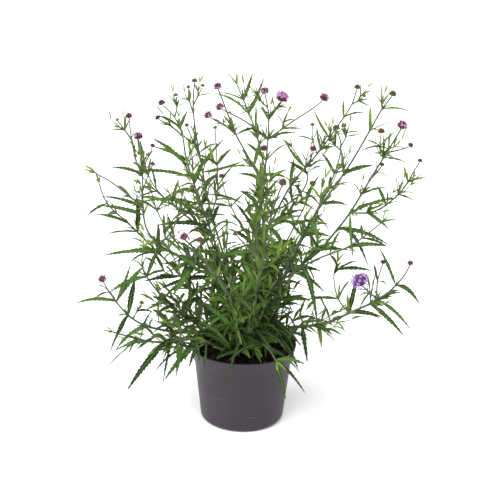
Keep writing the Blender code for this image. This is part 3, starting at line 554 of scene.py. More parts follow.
# Side branches: the first point is where one leaves its stem.
BRANCHES = (
    ("left_arch", ((-180, 26, 444), (-191, 29, 464), (-199, 31, 504), (-203, 31, 542)), ("calyx", 12)),
    ("left_arch", ((-199, 31, 504), (-213, 29, 526), (-222, 28, 538)), ("bud", 5)),
    ("left_arch", ((-180, 24, 415), (-172, 28, 440), (-164, 34, 458)), ("calyx", 8)),
    ("left_arch", ((-180, 27, 456), (-170, 30, 474), (-164, 36, 490)), ("calyx", 8)),
    ("left_arch", ((-179, 21, 385), (-198, 18, 403), (-234, 16, 433), (-260, 14, 448)), None),
    ("left_back", ((-131, 128, 522), (-126, 136, 540), (-130, 142, 556)), ("bud", 7)),
    ("left_back", ((-116, 117, 490), (-134, 112, 508), (-158, 108, 522)), ("calyx", 9)),
    ("left_upright", ((-94, 52, 548), (-102, 50, 572), (-103, 50, 592)), ("calyx", 6)),
    ("left_upright", ((-95, 55, 562), (-86, 60, 578), (-80, 64, 592)), ("calyx", 6)),
    ("left_upright", ((-80, 42, 465), (-92, 36, 500), (-104, 30, 530)), ("bud", 7)),
    ("centre_front", ((-19, -32, 534), (-38, -38, 552), (-62, -46, 566)), ("part", 13)),
    ("centre", ((35, 16, 515), (9, 12, 538), (-20, 8, 556), (-44, 4, 568)), ("part", 14)),
    ("centre", ((35, 16, 515), (72, 20, 543), (114, 22, 572), (125, 22, 582)), ("part", 17)),
    ("centre", ((35, 18, 556), (48, 22, 568), (54, 24, 578)), ("open", 24)),
    ("centre", ((34, 19, 570), (20, 12, 582), (14, 10, 594)), ("bud", 7)),
    ("right_back", ((174, 205, 455), (184, 208, 472), (178, 212, 488)), ("calyx", 10)),
    ("right_back", ((173, 200, 448), (160, 196, 458), (154, 194, 466)), ("calyx", 9)),
    ("right_inner", ((180, 75, 565), (190, 70, 572), (198, 68, 580)), ("bud", 6)),
    ("right_inner", ((103, 53, 455), (112, 48, 474), (114, 44, 488)), ("calyx", 12)),
    ("right_inner", ((122, 58, 479), (112, 64, 506), (112, 68, 526)), ("bud", 7)),
    ("right_arch", ((230, -62, 518), (248, -70, 524), (264, -76, 532)), ("calyx", 9)),
    ("right_arch", ((225, -60, 508), (218, -54, 530), (220, -50, 546)), ("calyx", 12)),
    ("right_arch", ((176, -44, 406), (213, -34, 404), (240, -24, 416), (268, -14, 442), (283, -8, 470),
        (292, -6, 486)), ("calyx", 8)),
    ("right_arch", ((207, -54, 471), (218, -50, 480), (224, -48, 490)), ("bud", 8)),
    ("right_low", ((227, -88, 266), (212, -100, 284), (196, -112, 302)), ("open", 30)),
    ("right_low", ((226, -88, 266), (224, -84, 296), (232, -84, 330)), ("calyx", 9)),
    ("left_low", ((-192, -54, 207), (-184, -50, 222), (-178, -48, 232)), ("bud", 8)),
    ("front_left", ((-72, -202, 385), (-66, -222, 404), (-68, -238, 418)), ("calyx", 9)),
    ("front_right", ((29, -112, 343), (2, -140, 378), (-14, -164, 404)), ("bud", 8)),
    ("back_mid", ((12, 150, 280), (-14, 180, 310), (-40, 210, 352), (-48, 226, 380)), ("calyx", 11)),
    ("right_arch", ((88, -24, 290), (115, -46, 318), (144, -62, 338), (170, -78, 355), (195, -88, 377),
        (226, -92, 407)), None),
    ("right_low", ((181, -68, 233), (160, -62, 258), (152, -56, 300), (158, -50, 319)), None),
    ("left_arch", ((-152, 17, 319), (-138, -6, 339), (-120, -20, 371), (-109, -26, 422)), None),
    ("left_arch", ((-66, 10, 276), (-96, -14, 310), (-128, -30, 354), (-150, -40, 400), (-160, -46, 440)),
        None),
    ("left_back", ((-60, 62, 325), (-96, 66, 348), (-148, 78, 388), (-172, 86, 416), (-184, 92, 452)),
        None),
    ("left_back", ((-73, 73, 357), (-104, 60, 366), (-132, 52, 384), (-158, 46, 408), (-182, 40, 436)),
        None),
    ("left_upright", ((-60, 30, 374), (-50, 20, 415), (-51, 14, 464), (-55, 10, 532)), ("bud", 6)),
    ("left_upright", ((-54, 28, 352), (-78, 8, 396), (-90, 2, 440), (-94, -4, 492)), None),
    ("right_inner", ((56, 38, 382), (90, 60, 398), (108, 66, 428), (102, 66, 452), (78, 64, 488)), None),
    ("right_tall", ((100, -9, 344), (124, 16, 392), (146, 26, 430), (160, 30, 466)), ("bud", 6)),
)

# Leaves that stand out on the plant: stem, root, tip, width across, rise of the midrib.
LEAVES = (
    ("left_shoot", (-134, -84, 180), (-196, -136, 108), 11, 6),
    ("left_shoot", (-104, -66, 176), (-112, -142, 138), 10, 7),
    ("left_shoot", (-118, -74, 178), (-150, -150, 186), 9, 5),
    ("left_shoot", (-159, -103, 187), (-222, -84, 158), 9, 6),
    ("left_mid", (-148, -20, 242), (-146, -74, 206), 9, 5),
    ("left_mid", (-121, -15, 212), (-172, -66, 262), 10, 5),
    ("left_arch", (-134, 16, 310), (-248, -16, 308), 10, 5),
    ("left_arch", (-179, 21, 385), (-256, 46, 396), 7, 5),
    ("left_arch", (-180, 26, 444), (-232, 4, 462), 6, 4),
    ("left_back", (-108, 103, 447), (-174, 116, 470), 7, 5),
    ("left_upright", (-82, 44, 480), (-50, 20, 504), 5, 4),
    ("front_right", (12, -46, 176), (-28, -112, 106), 6, 30),
    ("front_right", (15, -52, 196), (54, -104, 168), 8, 6),
    ("rim_shoot", (57, -108, 160), (106, -118, 158), 8, 4),
    ("rim_shoot", (57, -108, 160), (110, -110, 98), 6, 5),
    ("rim_shoot", (54, -104, 164), (76, -124, 92), 7, 5),
    ("left_low", (-78, -21, 168), (-20, -80, 164), 8, 8),
    ("right_arch", (176, -44, 406), (254, -62, 440), 8, 5),
    ("right_arch", (158, -38, 374), (242, -74, 360), 8, 8),
    ("right_arch", (158, -38, 374), (208, -96, 326), 7, 22),
    ("right_low", (123, -44, 198), (152, -104, 206), 9, 6),
    ("right_low", (227, -88, 266), (284, -112, 222), 7, 6),
    ("right_low", (181, -68, 233), (196, -30, 284), 9, 4),
    ("right_low", (234, -92, 272), (264, -76, 280), 6, 4),
    ("right_low", (181, -68, 233), (238, -44, 214), 8, 5),
    ("left_low", (-219, -66, 243), (-290, -56, 234), 7, 7),
    ("left_low", (-219, -66, 243), (-194, -56, 310), 7, -5),
    ("left_low", (-230, -71, 263), (-256, -90, 254), 4, 4),
    ("right_tall", (222, -19, 580), (221, -8, 622), 5, -3),
    ("right_tall", (222, -19, 580), (266, -30, 580), 4, 4),
    ("right_arch", (233, -63, 524), (184, -84, 524), 5, 6),
    ("right_arch", (274, -11, 452), (266, -2, 478), 4, 3),
    ("right_arch", (274, -11, 452), (306, -16, 462), 4, 3),
    ("right_arch", (238, -25, 415), (222, -14, 446), 6, 3),
    ("centre_back", (1, 177, 520), (-66, 192, 552), 5, 8),
    ("centre_back", (1, 177, 520), (27, 184, 586), 7, -4),
    ("centre", (35, 16, 515), (-4, -6, 540), 6, 4),
    ("centre", (35, 16, 515), (84, 34, 522), 6, 5),
    ("left_outer", (-246, 54, 380), (-282, 40, 360), 6, 4),
    ("left_outer", (-228, 50, 364), (-254, 92, 344), 7, 4),
    ("right_inner", (142, 64, 508), (113, 74, 556), 5, -4),
    ("right_inner", (103, 53, 455), (64, 62, 502), 6, -4),
    ("right_arch", (170, -78, 355), (235, -110, 371), 8, 5),
    ("right_arch", (100, -26, 304), (161, -74, 366), 9, 8),
    ("right_tall", (108, -9, 362), (124, -76, 352), 10, 26),
    ("right_arch", (98, -25, 302), (127, -104, 221), 10, 20),
    ("right_low", (150, -56, 211), (127, -66, 264), 9, 4),
    ("right_arch", (54, -20, 230), (118, -80, 258), 12, 6),
    ("left_arch", (-32, 7, 243), (44, -58, 280), 9, 4),
    ("centre_front", (13, -15, 252), (75, -90, 256), 11, 7),
    ("left_arch", (-52, 9, 262), (-150, -58, 262), 11, 7),
    ("left_arch", (-88, 12, 286), (-122, -76, 254), 14, 6),
    ("left_arch", (-118, 14, 300), (-68, -44, 300), 12, 4),
    ("left_mid", (-90, -10, 186), (-20, -104, 180), 8, 8),
    ("left_low", (-68, -18, 164), (-108, -108, 130), 12, 10),
    ("front_right", (14, -50, 188), (76, -96, 178), 9, 7),
    ("right_arch", (176, -44, 406), (184, -96, 336), 6, 6),
    ("left_arch", (-150, 17, 318), (-150, -22, 374), 10, 2),
    ("left_back", (-106, 100, 438), (-168, 84, 494), 10, 4),
    ("left_back", (-96, 92, 420), (-40, 64, 502), 8, 4),
    ("left_arch", (-177, 20, 372), (-252, 0, 394), 8, 4),
    ("left_arch", (-180, 23, 404), (-128, -12, 402), 7, 4),
    ("left_outer", (-207, 46, 347), (-262, 18, 372), 8, 4),
    ("right_low", (184, -70, 236), (234, -104, 242), 7, 4),
    ("left_mid", (-178, -27, 292), (-220, -64, 234), 8, 5),
    ("right_low", (152, -56, 300), (188, -84, 334), 9, 4),
    ("right_low", (153, -55, 306), (216, -70, 312), 8, 4),
    ("left_back", (-98, 94, 422), (-200, 60, 440), 7, 5),
    ("left_back", (-80, 79, 374), (-190, 70, 376), 7, 8),
    ("left_back", (-66, 67, 338), (-160, 40, 346), 8, 6),
    ("left_upright", (-70, 35, 408), (0, 8, 398), 6, 5),
    ("left_upright", (-76, 39, 447), (-4, 24, 474), 7, -3),
    ("left_upright", (-52, 18, 428), (-24, -8, 472), 7, 3),
    ("left_back", (-84, 82, 386), (-58, 56, 432), 9, 2),
    ("right_tall", (130, -11, 408), (178, 20, 398), 8, 5),
    ("right_back", (135, 146, 358), (96, 112, 396), 9, 3),
)


def smooth_line(points, step):
    """A Catmull-Rom curve through the points, read about every step."""
    before, after = points[0] * 2 - points[1], points[-1] * 2 - points[-2]
    run = [before] + points + [after]
    line = []
    for a, b, c, d in zip(run, run[1:], run[2:], run[3:]):
        count = max(1, round((c - b).length / step))
        for i in range(count):
            t = i / count
            line.append(0.5 * (2 * b + (c - a) * t + (2 * a - 5 * b + 4 * c - d) * t ** 2
                               + (3 * b - a - 3 * c + d) * t ** 3))
    return line + [points[-1]]


def stem_line(root, points, step):
    """A smooth line through chosen points, upright where it stands in the soil."""
    foot = Vector((root[0] * MM, root[1] * MM, SOIL_TOP - ROOT_DEPTH))
    neck = Vector((foot.x, foot.y, SOIL_TOP + 2 * SOIL_RELIEF))
    return [foot] + smooth_line([neck] + [Vector(p) * MM for p in points], step)


def length_of(line):
    return sum((b - a).length for a, b in zip(line, line[1:]))


def along(line, distance):
    """The point and direction at a distance along a line."""
    for a, b in zip(line, line[1:]):
        step = (b - a).length
        if distance <= step or b is line[-1]:
            return a.lerp(b, min(1.0, distance / step)), (b - a).normalized()
        distance -= step


def share(value):
    """The value, held between 0 and 1."""
    return min(1.0, max(0.0, value))


def height_at(place):
    """0 on the low part of the plant and 1 near its top."""
    return share((place.z - LOW_AT) / HEIGHT_SPAN)


def across(heading, turn):
    """A direction square to a heading, turned about it."""
    return Matrix.Rotation(turn, 3, heading) @ heading.orthogonal().normalized()


def nearest_on(line, point):
    """How far along a line it passes closest to a point, and how close."""
    best, best_gap, run = 0.0, 1e9, 0.0
    for a, b in zip(line, line[1:]):
        step = b - a
        t = share((point - a).dot(step) / step.length_squared)
        gap = (a + step * t - point).length
        if gap < best_gap:
            best, best_gap = run + t * step.length, gap
        run += step.length
    return best, best_gap


def attached(found, stem, place):
    """The nearest place to another on any stalk of a stem."""
    lines = [s["line"] for s in found if s["stem"] == stem]
    line = min(lines, key=lambda one: nearest_on(one, place)[1])
    return along(line, nearest_on(line, place)[0])[0]


def stalks(step, easing=0):
    """Every stem and side branch, its line read about every step and eased between its ends."""
    found = [dict(stem=name, line=eased(stem_line(root, points, step), easing), foot=STALK_FOOT,
                  tip=STALK_TIP, head=head) for name, (root, points, head) in STEMS.items()]
    for name, points, head in BRANCHES:
        points = [Vector(p) * MM for p in points]
        points[0] = attached(found, name, points[0])
        found.append(dict(stem=name, line=eased(smooth_line(points, step), easing), foot=TWIG_FOOT,
                          tip=TWIG_TIP, head=head))
    return found


def eased(line, rounds):
    """The line with its small kinks eased out, its two ends held."""
    places = np.array(line)
    for _ in range(rounds):
        places[2:-1] += 0.5 * ((places[1:-2] + places[3:]) / 2 - places[2:-1])
    return [Vector(p) for p in places] if rounds else line


def head_axis(stalk):
    """A head's own direction, between its stalk's and upright."""
    return (stalk["line"][-1] - stalk["line"][-2]).normalized().lerp(Vector((0, 0, 1)), 0.45).normalized()


def head_centre(stalk, width):
    """A head's middle, over the tip of its stalk and turned a little more upright than it."""
    return head_foot(stalk) + head_axis(stalk) * (GAP + 0.30 * width)


def head_foot(stalk):
    """The place on a head's axis that is level with the highest corner of its stalk's end."""
    ahead = (stalk["line"][-1] - stalk["line"][-2]).normalized()
    return stalk["line"][-1] + head_axis(stalk) * stalk["tip"] * ahead.cross(head_axis(stalk)).length


class Space:
    """Round samples of all that is placed, so that one piece is kept clear of another."""

    def __init__(self):
        self.at, self.wide, self.owner = np.empty((0, 3)), np.empty(0), np.empty(0, int)

    def add(self, points, radii, owner):
        self.at = np.vstack([self.at, np.array(points)])
        self.wide = np.append(self.wide, radii)
        self.owner = np.append(self.owner, [owner] * len(points))

    def is_clear(self, points, radii, owner):
        gaps = np.linalg.norm(np.array(points)[:, None] - self.at[None], axis=2)
        gaps -= np.array(radii)[:, None] + self.wide[None]
        own = self.owner == owner
        far = np.array([dist(p, points[0]) > OWN_REACH for p in points])
        return gaps[:, ~own].min() > LEAF_CLEARANCE and (not far.any() or gaps[far][:, own].min() > 0)


def clear_of_pot(points, radii):
    """Over the soil inside the rim, above the rim, or outside it."""
    for (x, y, z), r in zip(points, radii):
        reach = hypot(x, y)
        inside = z > SOIL_TOP + 3 * SOIL_RELIEF + r and reach < RIM_RADIUS - INNER_RIM_ROOM - r
        beyond = z > POT_HEIGHT + r + RIM_ROOM or reach > RIM_RADIUS + r + RIM_ROOM
        if z < GROUND_ROOM + r or not (inside or beyond):
            return False
    return True


def leaf_width_at(s):
    """Half-width over greatest half-width: a narrow foot, an even strap, then a pointed tip."""
    return (0.38 + 0.62 * min(1.0, s / 0.30) ** 0.8) * (1 - max(0.0, (s - 0.30) / 0.70) ** 2.2)


def midrib(leaf, s):
    """The place at a share s of a leaf's length, on a flat arch from its root to its tip."""
    chord = leaf["tip"] - leaf["root"]
    return leaf["root"] + chord * s + Vector((0, 0, 4 * leaf["rise"] * s * (1 - s)))


def leaf_samples(leaf):
    """Round samples along a leaf, but for its very foot: their places and radii."""
    count = max(5, round((leaf["tip"] - leaf["root"]).length / LEAF_SAMPLE))
    steps = [0.10 + 0.90 * i / count for i in range(count + 1)]
    return [tuple(midrib(leaf, s)) for s in steps], [leaf["width"] / 2 * leaf_width_at(s) for s in steps]


def plan_leaves(found):
    """Chosen leaves first, then a pair at each node of each stem, each kept clear of the others."""
    rng = random.Random(SEED)
    names = list(STEMS)
    space = Space()
    for index, stalk in enumerate(found):
        total = length_of(stalk["line"])
        count = round(total / STALK_SAMPLE)
        places = [along(stalk["line"], total * i / count)[0] for i in range(count + 1)]
        girths = [stalk["foot"] + (stalk["tip"] - stalk["foot"]) * i / count for i in range(count + 1)]
        space.add(places, girths, names.index(stalk["stem"]))
        if stalk["head"] and stalk["head"][0] != "bud":
            width = stalk["head"][1] * MM
            space.add([head_centre(stalk, width)], [width * HEAD_ROOM], len(names) + index)
    leaves = []

    def settle(stem, make):
        for attempt in range(TRIES):
            leaf = make(attempt)
            points, radii = leaf_samples(leaf)
            if clear_of_pot(points, radii) and space.is_clear(points, radii, names.index(stem)):
                space.add(points, radii, names.index(stem))
                leaves.append(leaf)
                return

    for stem, root, tip, width, rise in LEAVES:
        root, tip = attached(found, stem, Vector(root) * MM), Vector(tip) * MM

        def chosen(attempt):
            stray = Vector([rng.uniform(-1, 1) for _ in range(3)]) * (0.0022 * attempt)
            return dict(stem=stem, root=root, tip=tip + stray, width=width * MM, rise=rise * MM,
                        twist=rng.uniform(-0.35, 0.35),
                        plane=copysign(rng.uniform(0.45, 1.05), tip.x - root.x))
        settle(stem, chosen)

    kept = list(leaves)
    for stalk in found:
        total = length_of(stalk["line"])
        twig = stalk["foot"] == TWIG_FOOT
        short = twig and total < SHORT_TWIG
        distance = 0.5 * total if short else FIRST_NODE
        turn = rng.uniform(0, pi)
        while distance < total - (BARE_TWIG_END if twig else BARE_STEM_END):
            place, heading = along(stalk["line"], distance)
            height = height_at(place)
            taken = any(l["stem"] == stalk["stem"] and (l["root"] - place).length < NODE_TAKEN for l in kept)
            for side in ([] if taken else (0, pi)):
                def by_rule(attempt):
                    size = (LEAF_LOW + (LEAF_HIGH - LEAF_LOW) * height ** 0.8) * rng.uniform(0.84, 1.14)
                    size *= (0.55 if short else 0.85 if twig else 1.0) * (1 - 0.018 * attempt)
                    spread = turn + side + rng.uniform(-0.25, 0.25) * (1 + 0.35 * attempt)
                    out = across(heading, spread)
                    opening = radians(rng.uniform(38, 64) + 26 * (1 - height) ** 3 + 1.5 * attempt)
                    tip = place + swung(heading, out, opening) * size
                    sag = size * rng.uniform(0.05, 0.30) * (1.15 - 0.8 * height)
                    tip.z -= sag
                    tip.x = min(WIDEST, max(-WIDEST, tip.x))
                    return dict(stem=stalk["stem"], root=place, tip=tip, rise=sag * 0.4 + 0.02 * size,
                                width=size * rng.uniform(0.100, 0.130), twist=rng.uniform(-0.5, 0.5),
                                plane=copysign(rng.uniform(-0.25, 1.15), out.x))
                settle(stalk["stem"], by_rule)
            turn += pi / 2 + rng.uniform(-0.2, 0.2)
            distance += (INTERNODE_LOW + (INTERNODE_HIGH - INTERNODE_LOW) * height) * rng.uniform(0.85, 1.15)
    return leaves


planned = stalks(STALK_STEP)
leaves = plan_leaves(planned)
drawn = stalks(DRAWN_STEP, EASING)


# The stalks
# Square, ribbed, bristly green stalks, a little swollen at each pair of leaves and tinted purple
# where they are thin. Each side branch grows out of the stalk that carries it.
STALK_SIDES = ((0, 1.0), (30, 0.80), (60, 0.80))       # turn in degrees and reach, four times round
NODE_SWELL, NODE_SPREAD = 0.28, 0.0028
BRISTLE_LENGTH, BRISTLE_WIDTH, BRISTLE_STEP = 0.00075, 0.00012, 0.0016
STALK_GREEN, STALK_PALE = (0.062, 0.085, 0.044), (0.150, 0.180, 0.110)
STALK_LIME, STALK_PURPLE = (0.075, 0.112, 0.032), (0.034, 0.031, 0.028)
UP = Vector((0, 0, 1))
STALK, UPPER, UNDER, BUD = range(4)         # a leafy stem's finishes


def grow_stalk(growth, stalk, nodes, youth, rng):
    """A square tapering stalk along its line, with a swelling at each node, and its bristles."""
    line, rings, carried, run = stalk["line"], [], [], 0.0
    total, tone = length_of(line), rng.random()
    for i, (place, ahead, side, other) in enumerate(frames(line)):
        run += (place - line[max(i - 1, 0)]).length
        swell = 1 + NODE_SWELL * max([exp(-((run - at) / NODE_SPREAD) ** 2) for at in nodes] + [0])
        radius = (stalk["foot"] + (stalk["tip"] - stalk["foot"]) * (run / total) ** 1.5) * swell
        ring = []
        for quarter in range(4):
            for degrees, reach in STALK_SIDES:
                aim = swung(side, other, radians(degrees + 90 * quarter))
                ring.append(place + aim * radius * reach)
                carried.append((run / total, 1.0 if reach == 1 else -1.0, tone, youth + 0.5 * (swell - 1)))
                if rng.random() < DRAWN_STEP / BRISTLE_STEP / 6 and run > ROOT_DEPTH + 0.006:
                    bristle(growth, place + aim * radius * reach * 0.97, aim, ahead, rng, tone)
        rings.append(ring)
    tip_values = (1.0, 0.0, tone, youth)
    growth.loft(rings, carried, [STALK] * 12, line[-1] + ahead * 0.0001, tip_values)


def bristle(growth, place, aim, ahead, rng, tone):
    """One stiff hair, a slim three-sided spike leaning to the tip of its stalk."""
    lean = (aim + ahead * rng.uniform(-0.1, 0.5)).normalized()
    half = lean.cross(ahead).normalized() * BRISTLE_WIDTH / 2
    foot = [place + half, place - half, place + ahead * 0.00010]
    growth.patch(foot + [place + lean * BRISTLE_LENGTH * rng.uniform(0.6, 1.1)],
                 [(0, 1, 3), (1, 2, 3), (2, 0, 3), (0, 2, 1)], [(0.5, 1.0, tone, 0.9)] * 4, STALK)


stalk_skin, surface = new_finish("stalk_skin", 0.12)
ribs, reach = surface.carried("across").rise(-0.6, 1.0), surface.carried("along")
streaks = surface.clouds(240, 3)
thin = (reach + streaks * 0.35).rise(0.62, 1.18)
green = ribs.mix(STALK_GREEN, STALK_PALE)
green = surface.carried("youth").rise(0.35, 0.95).mix(green, STALK_LIME)
surface.dress((thin * (0.35 + 0.55 * streaks)).mix(green, STALK_PURPLE), 0.50 + 0.2 * streaks,
              ribs * 0.5 + surface.clouds(1500, 2), 0.0003)


# The leaves
# Narrow stalkless blades, folded along a pale midrib, their margins cut into forward teeth, dark
# above and greyer below. Young ones are lime green and stand in tufts where the pairs join.
TOOTH_PITCH = 0.0088
TOOTHED_LEAF, WIDE_LEAF = 0.0280, 0.0340        # from these lengths on: teeth, a finer cross-section
BLADE_THICKNESS = 0.00030
DARK_LEAF, MID_LEAF = (0.004, 0.017, 0.003), (0.043, 0.104, 0.014)
LIME_LEAF, PALE_RIB = (0.150, 0.240, 0.024), (0.190, 0.260, 0.120)
SHOOT_LOW, SHOOT_HIGH = 0.062, 0.022
CROWN_SHOOTS, CROWN_LEAVES = 2, 9
INNER_TOP, INNER_RADIUS = 0.425, 0.135
BOX_SLACK = 0.002               # how far small leaves may reach past the solids' box
GREY_UNDER, LIME_UNDER = (0.036, 0.056, 0.025), (0.150, 0.225, 0.046)
MID_UNDER, TIP_BROWN = (0.076, 0.106, 0.050), (0.110, 0.070, 0.030)


def stations(length, teeth, rng):
    """Places along a blade as (s, left share, right share, forward lean of the margin)."""
    if not teeth:
        steps = (0.0, 0.12, 0.30, 0.52, 0.74, 0.90) if length < 0.02 else \
            (0.0, 0.06, 0.15, 0.27, 0.40, 0.54, 0.68, 0.81, 0.92)
        return [(s, 0.35 if s == 0 else 1.0, 0.35 if s == 0 else 1.0, 0) for s in steps]
    found = [(0.0, 0.35, 0.35, 0), (0.03, 0.75, 0.75, 0), (0.08, 0.95, 0.95, 0)]
    depth = 0.16 + 0.24 * min(1.0, length / 0.08)
    pitch = 0.82 / teeth
    for i in range(teeth):
        s = 0.13 + pitch * i
        cut = depth * (0.5 + 0.5 * min(1.0, i / 3))
        left, right = rng.uniform(0.7, 1.3) * cut, rng.uniform(0.7, 1.3) * cut
        found += [(s, 1 - left / 2, 1 - right / 2, 0), (s + 0.42 * pitch, 1.0, 1.0, 0.10 * pitch),
                  (s + 0.70 * pitch, 1 + left * 0.6, 1 + right * 0.6, 0.24 * pitch)]
    return found + [(0.965, 0.9, 0.9, 0)]


def grow_leaf(growth, leaf, youth, tone, rng):
    """A folded blade, lofted over its stations with a keel below, and closed at its point."""
    chord = leaf["tip"] - leaf["root"]
    length = chord.length
    teeth = round(length / TOOTH_PITCH) if length > TOOTHED_LEAF else 0
    level = chord.cross(UP)
    level = (level if level.length > 0.05 * length else chord.cross(Vector((0.2, 1, 0)))).normalized()
    fold, waves, phase = rng.uniform(0.10, 0.48), rng.uniform(1.5, 3.5), rng.uniform(0, 6)
    sway = rng.uniform(-0.022, 0.022) * length
    wide = length > WIDE_LEAF
    upper = (-1, -0.5, 0, 0.5, 1) if wide else (-1, 0, 1)
    under = (0.5, 0, -0.5) if wide else (0,)
    rings, carried = [], []

    def middle(s):
        return midrib(leaf, s) + level * sway * sin(pi * s) ** 2

    for s, left, right, lean in stations(length, teeth, rng):
        ahead = (middle(min(1, s + 0.04)) - middle(max(0, s - 0.04))).normalized()
        side = Matrix.Rotation(leaf["plane"] + leaf["twist"] * s, 3, ahead) @ level
        above = side.cross(ahead)
        half = leaf["width"] / 2 * leaf_width_at(s)
        crimp = 0.16 * half * sin(waves * tau * s + phase)
        ring = []
        for t in upper + under:
            below = len(ring) >= len(upper)
            out = t * max(half * (left if t < 0 else right), 0.0002)
            rise = abs(t) * (fold * half + (crimp if t < 0 else -crimp) * abs(t))
            rise += 0.10 * half * (1 - (2 * abs(t) - 1) ** 2) - (0.0001 if t == 0 else 0)
            if below:
                rise -= BLADE_THICKNESS if t else BLADE_THICKNESS + leaf["width"] * 0.085 * (1 - 0.7 * s)
            reach = ahead * lean * length * abs(t) ** 3
            ring.append(middle(s) + side * out + above * rise + reach)
            carried.append((s, t, tone, youth + (0.25 * (1 - youth) * max(0, 1 - s / 0.10))))
        rings.append(ring)
    worn = [UPPER] * (len(upper) - 1) + [UNDER] * (len(under) + 1)
    growth.loft(rings, carried, worn, leaf["tip"], (1.0, 0.0, tone, youth))


def small_leaf(growth, root, aim, length, width, youth, rng, droop=0.12):
    """A bract or a young leaf that leaves its root along an aim and bends a little down."""
    tip = root + aim.normalized() * length
    sag = length * droop * rng.uniform(0.3, 1.3)
    tip.z -= sag
    leaf = dict(root=root, tip=tip, rise=sag * 0.7 + 0.03 * length, width=width,
                twist=rng.uniform(-0.6, 0.6), plane=copysign(rng.uniform(-0.3, 1.1), aim.x))
    inside = all(low - BOX_SLACK < at < high + BOX_SLACK
                 for low, at, high in zip(solid_box[0], tip, solid_box[1]))
    if inside and clear_of_pot(*leaf_samples(leaf)):
        grow_leaf(growth, leaf, youth, rng.random() ** 1.3, rng)


def side_shoot(growth, root, aim, heading, length, youth, rng):
    """A shoot in a leaf's axil: a thin stalk that turns upright, with pairs of small leaves."""
    line, steps = [], 8
    for i in range(steps + 1):
        s = i / steps
        line.append(root + aim * length * s * (1 - 0.35 * s) + (heading + UP * 0.3) * length * 0.40 * s * s)
    if not clear_of_pot([tuple(p) for p in line], [0.001] * len(line)):
        return
    girth = 0.0011 + 0.006 * length
    thread(growth, line, [girth * (1 - 0.45 * i / steps) for i in range(steps + 1)], 6,
           [(0.4, 1.0, 0.5, 0.5 + 0.5 * youth)] * (steps + 1), STALK)
    turn, pairs = rng.uniform(0, pi), max(2, round(length / 0.0165))
    for i in range(pairs):
        place, ahead = along(line, length_of(line) * (0.30 + 0.70 * i / (pairs - 1)))
        out = across(ahead, turn)
        last = i == pairs - 1
        for way in (1, -1):
            opening = rng.uniform(0.15, 0.4) if last else rng.uniform(0.45, 1.0)
            long = (0.010 + 0.52 * length) * rng.uniform(0.75, 1.2) * (0.7 if last else 1.0)
            small_leaf(growth, place, swung(ahead, out * way, opening), long,
                       long * rng.uniform(0.13, 0.18), min(1.0, youth + 0.35 * last), rng)
        turn += pi / 2 + rng.uniform(-0.3, 0.3)


def lushness(place):
    """How freely young growth breaks at a place: least on the low outer parts of the plant."""
    outer = share((hypot(place.x, place.y) - 0.09) / 0.12)
    return 1 - 0.80 * outer * share((0.46 - place.z) / 0.10)


def node_tuft(growth, place, heading, out, height, rng):
    """Young leaves in the axils of one pair, and most often a side shoot."""
    lush = lushness(place)
    for way in (1, -1):
        if rng.random() < (0.95 - 0.62 * height ** 2) * lush:
            aim = (heading * rng.uniform(0.7, 1.2) + out * way * rng.uniform(0.5, 1.1)).normalized()
            aim = Matrix.Rotation(rng.uniform(-0.6, 0.6), 3, heading) @ aim
            length = rng.uniform(0.70, 1.25) * (SHOOT_LOW + (SHOOT_HIGH - SHOOT_LOW) * height ** 0.7)
            side_shoot(growth, place, aim, heading, length * (0.4 + 0.6 * lush),
                       rng.uniform(0.05, 0.45) + 0.45 * height, rng)
    for _ in range(rng.choice((1, 2, 3, 3, 4))):
        turn = rng.uniform(-0.7, 0.7) + rng.choice((0, pi))
        spread = Matrix.Rotation(turn, 3, heading) @ out
        opening = rng.uniform(0.25, 0.75)
        length = rng.uniform(0.012, 0.036) * (1.1 - 0.45 * height)
        small_leaf(growth, place, swung(heading, spread, opening), length,
                   length * rng.uniform(0.12, 0.18), rng.uniform(0.25, 0.95), rng)


def inner_growth(growth, stalk, rng):
    """Leaves and shoots between the pairs, where the stems stand close together."""
    distance, turn = ROOT_DEPTH + 0.016, rng.uniform(0, pi)
    while distance < length_of(stalk["line"]):
        place, heading = along(stalk["line"], distance)
        if place.z > INNER_TOP:
            return
        crowd = 1 - (place.z - SOIL_TOP) / (INNER_TOP - SOIL_TOP)
        if hypot(place.x, place.y) < INNER_RADIUS:
            out = across(heading, turn)
            if rng.random() < 0.22:
                aim = (heading * rng.uniform(0.3, 1.0) + out).normalized()
                side_shoot(growth, place, aim, heading, rng.uniform(0.030, 0.060), rng.uniform(0, 0.6), rng)
            else:
                length = rng.uniform(0.030, 0.064)
                small_leaf(growth, place, heading * rng.uniform(-0.2, 0.8) + out, length,
                           length * rng.uniform(0.13, 0.18), rng.uniform(0.0, 0.25), rng, droop=0.28)
        turn += 2.4
        distance += rng.uniform(0.010, 0.018) + 0.012 * (1 - crowd)


def crown_growth(growth, root, rng):
    """The short shoots and leaves that crowd round the foot of a stem, over the soil."""
    for _ in range(CROWN_SHOOTS):
        turn, lean = rng.uniform(0, tau), rng.uniform(0.5, 1.3)
        aim = Vector((*round_at(lean, turn), 1)).normalized()
        place = root + UP * rng.uniform(0.002, 0.014)
        side_shoot(growth, place, aim, UP, rng.uniform(0.030, 0.068), rng.uniform(0.0, 0.5), rng)
    for _ in range(CROWN_LEAVES):
        turn, lean = rng.uniform(0, tau), rng.uniform(0.7, 3.0)
        length = rng.uniform(0.034, 0.064)
        small_leaf(growth, root + UP * rng.uniform(0.006, 0.050), Vector((*round_at(lean, turn), 1)), length,
                   length * rng.uniform(0.15, 0.21), rng.uniform(0.0, 1.0) ** 3, rng, droop=0.3)


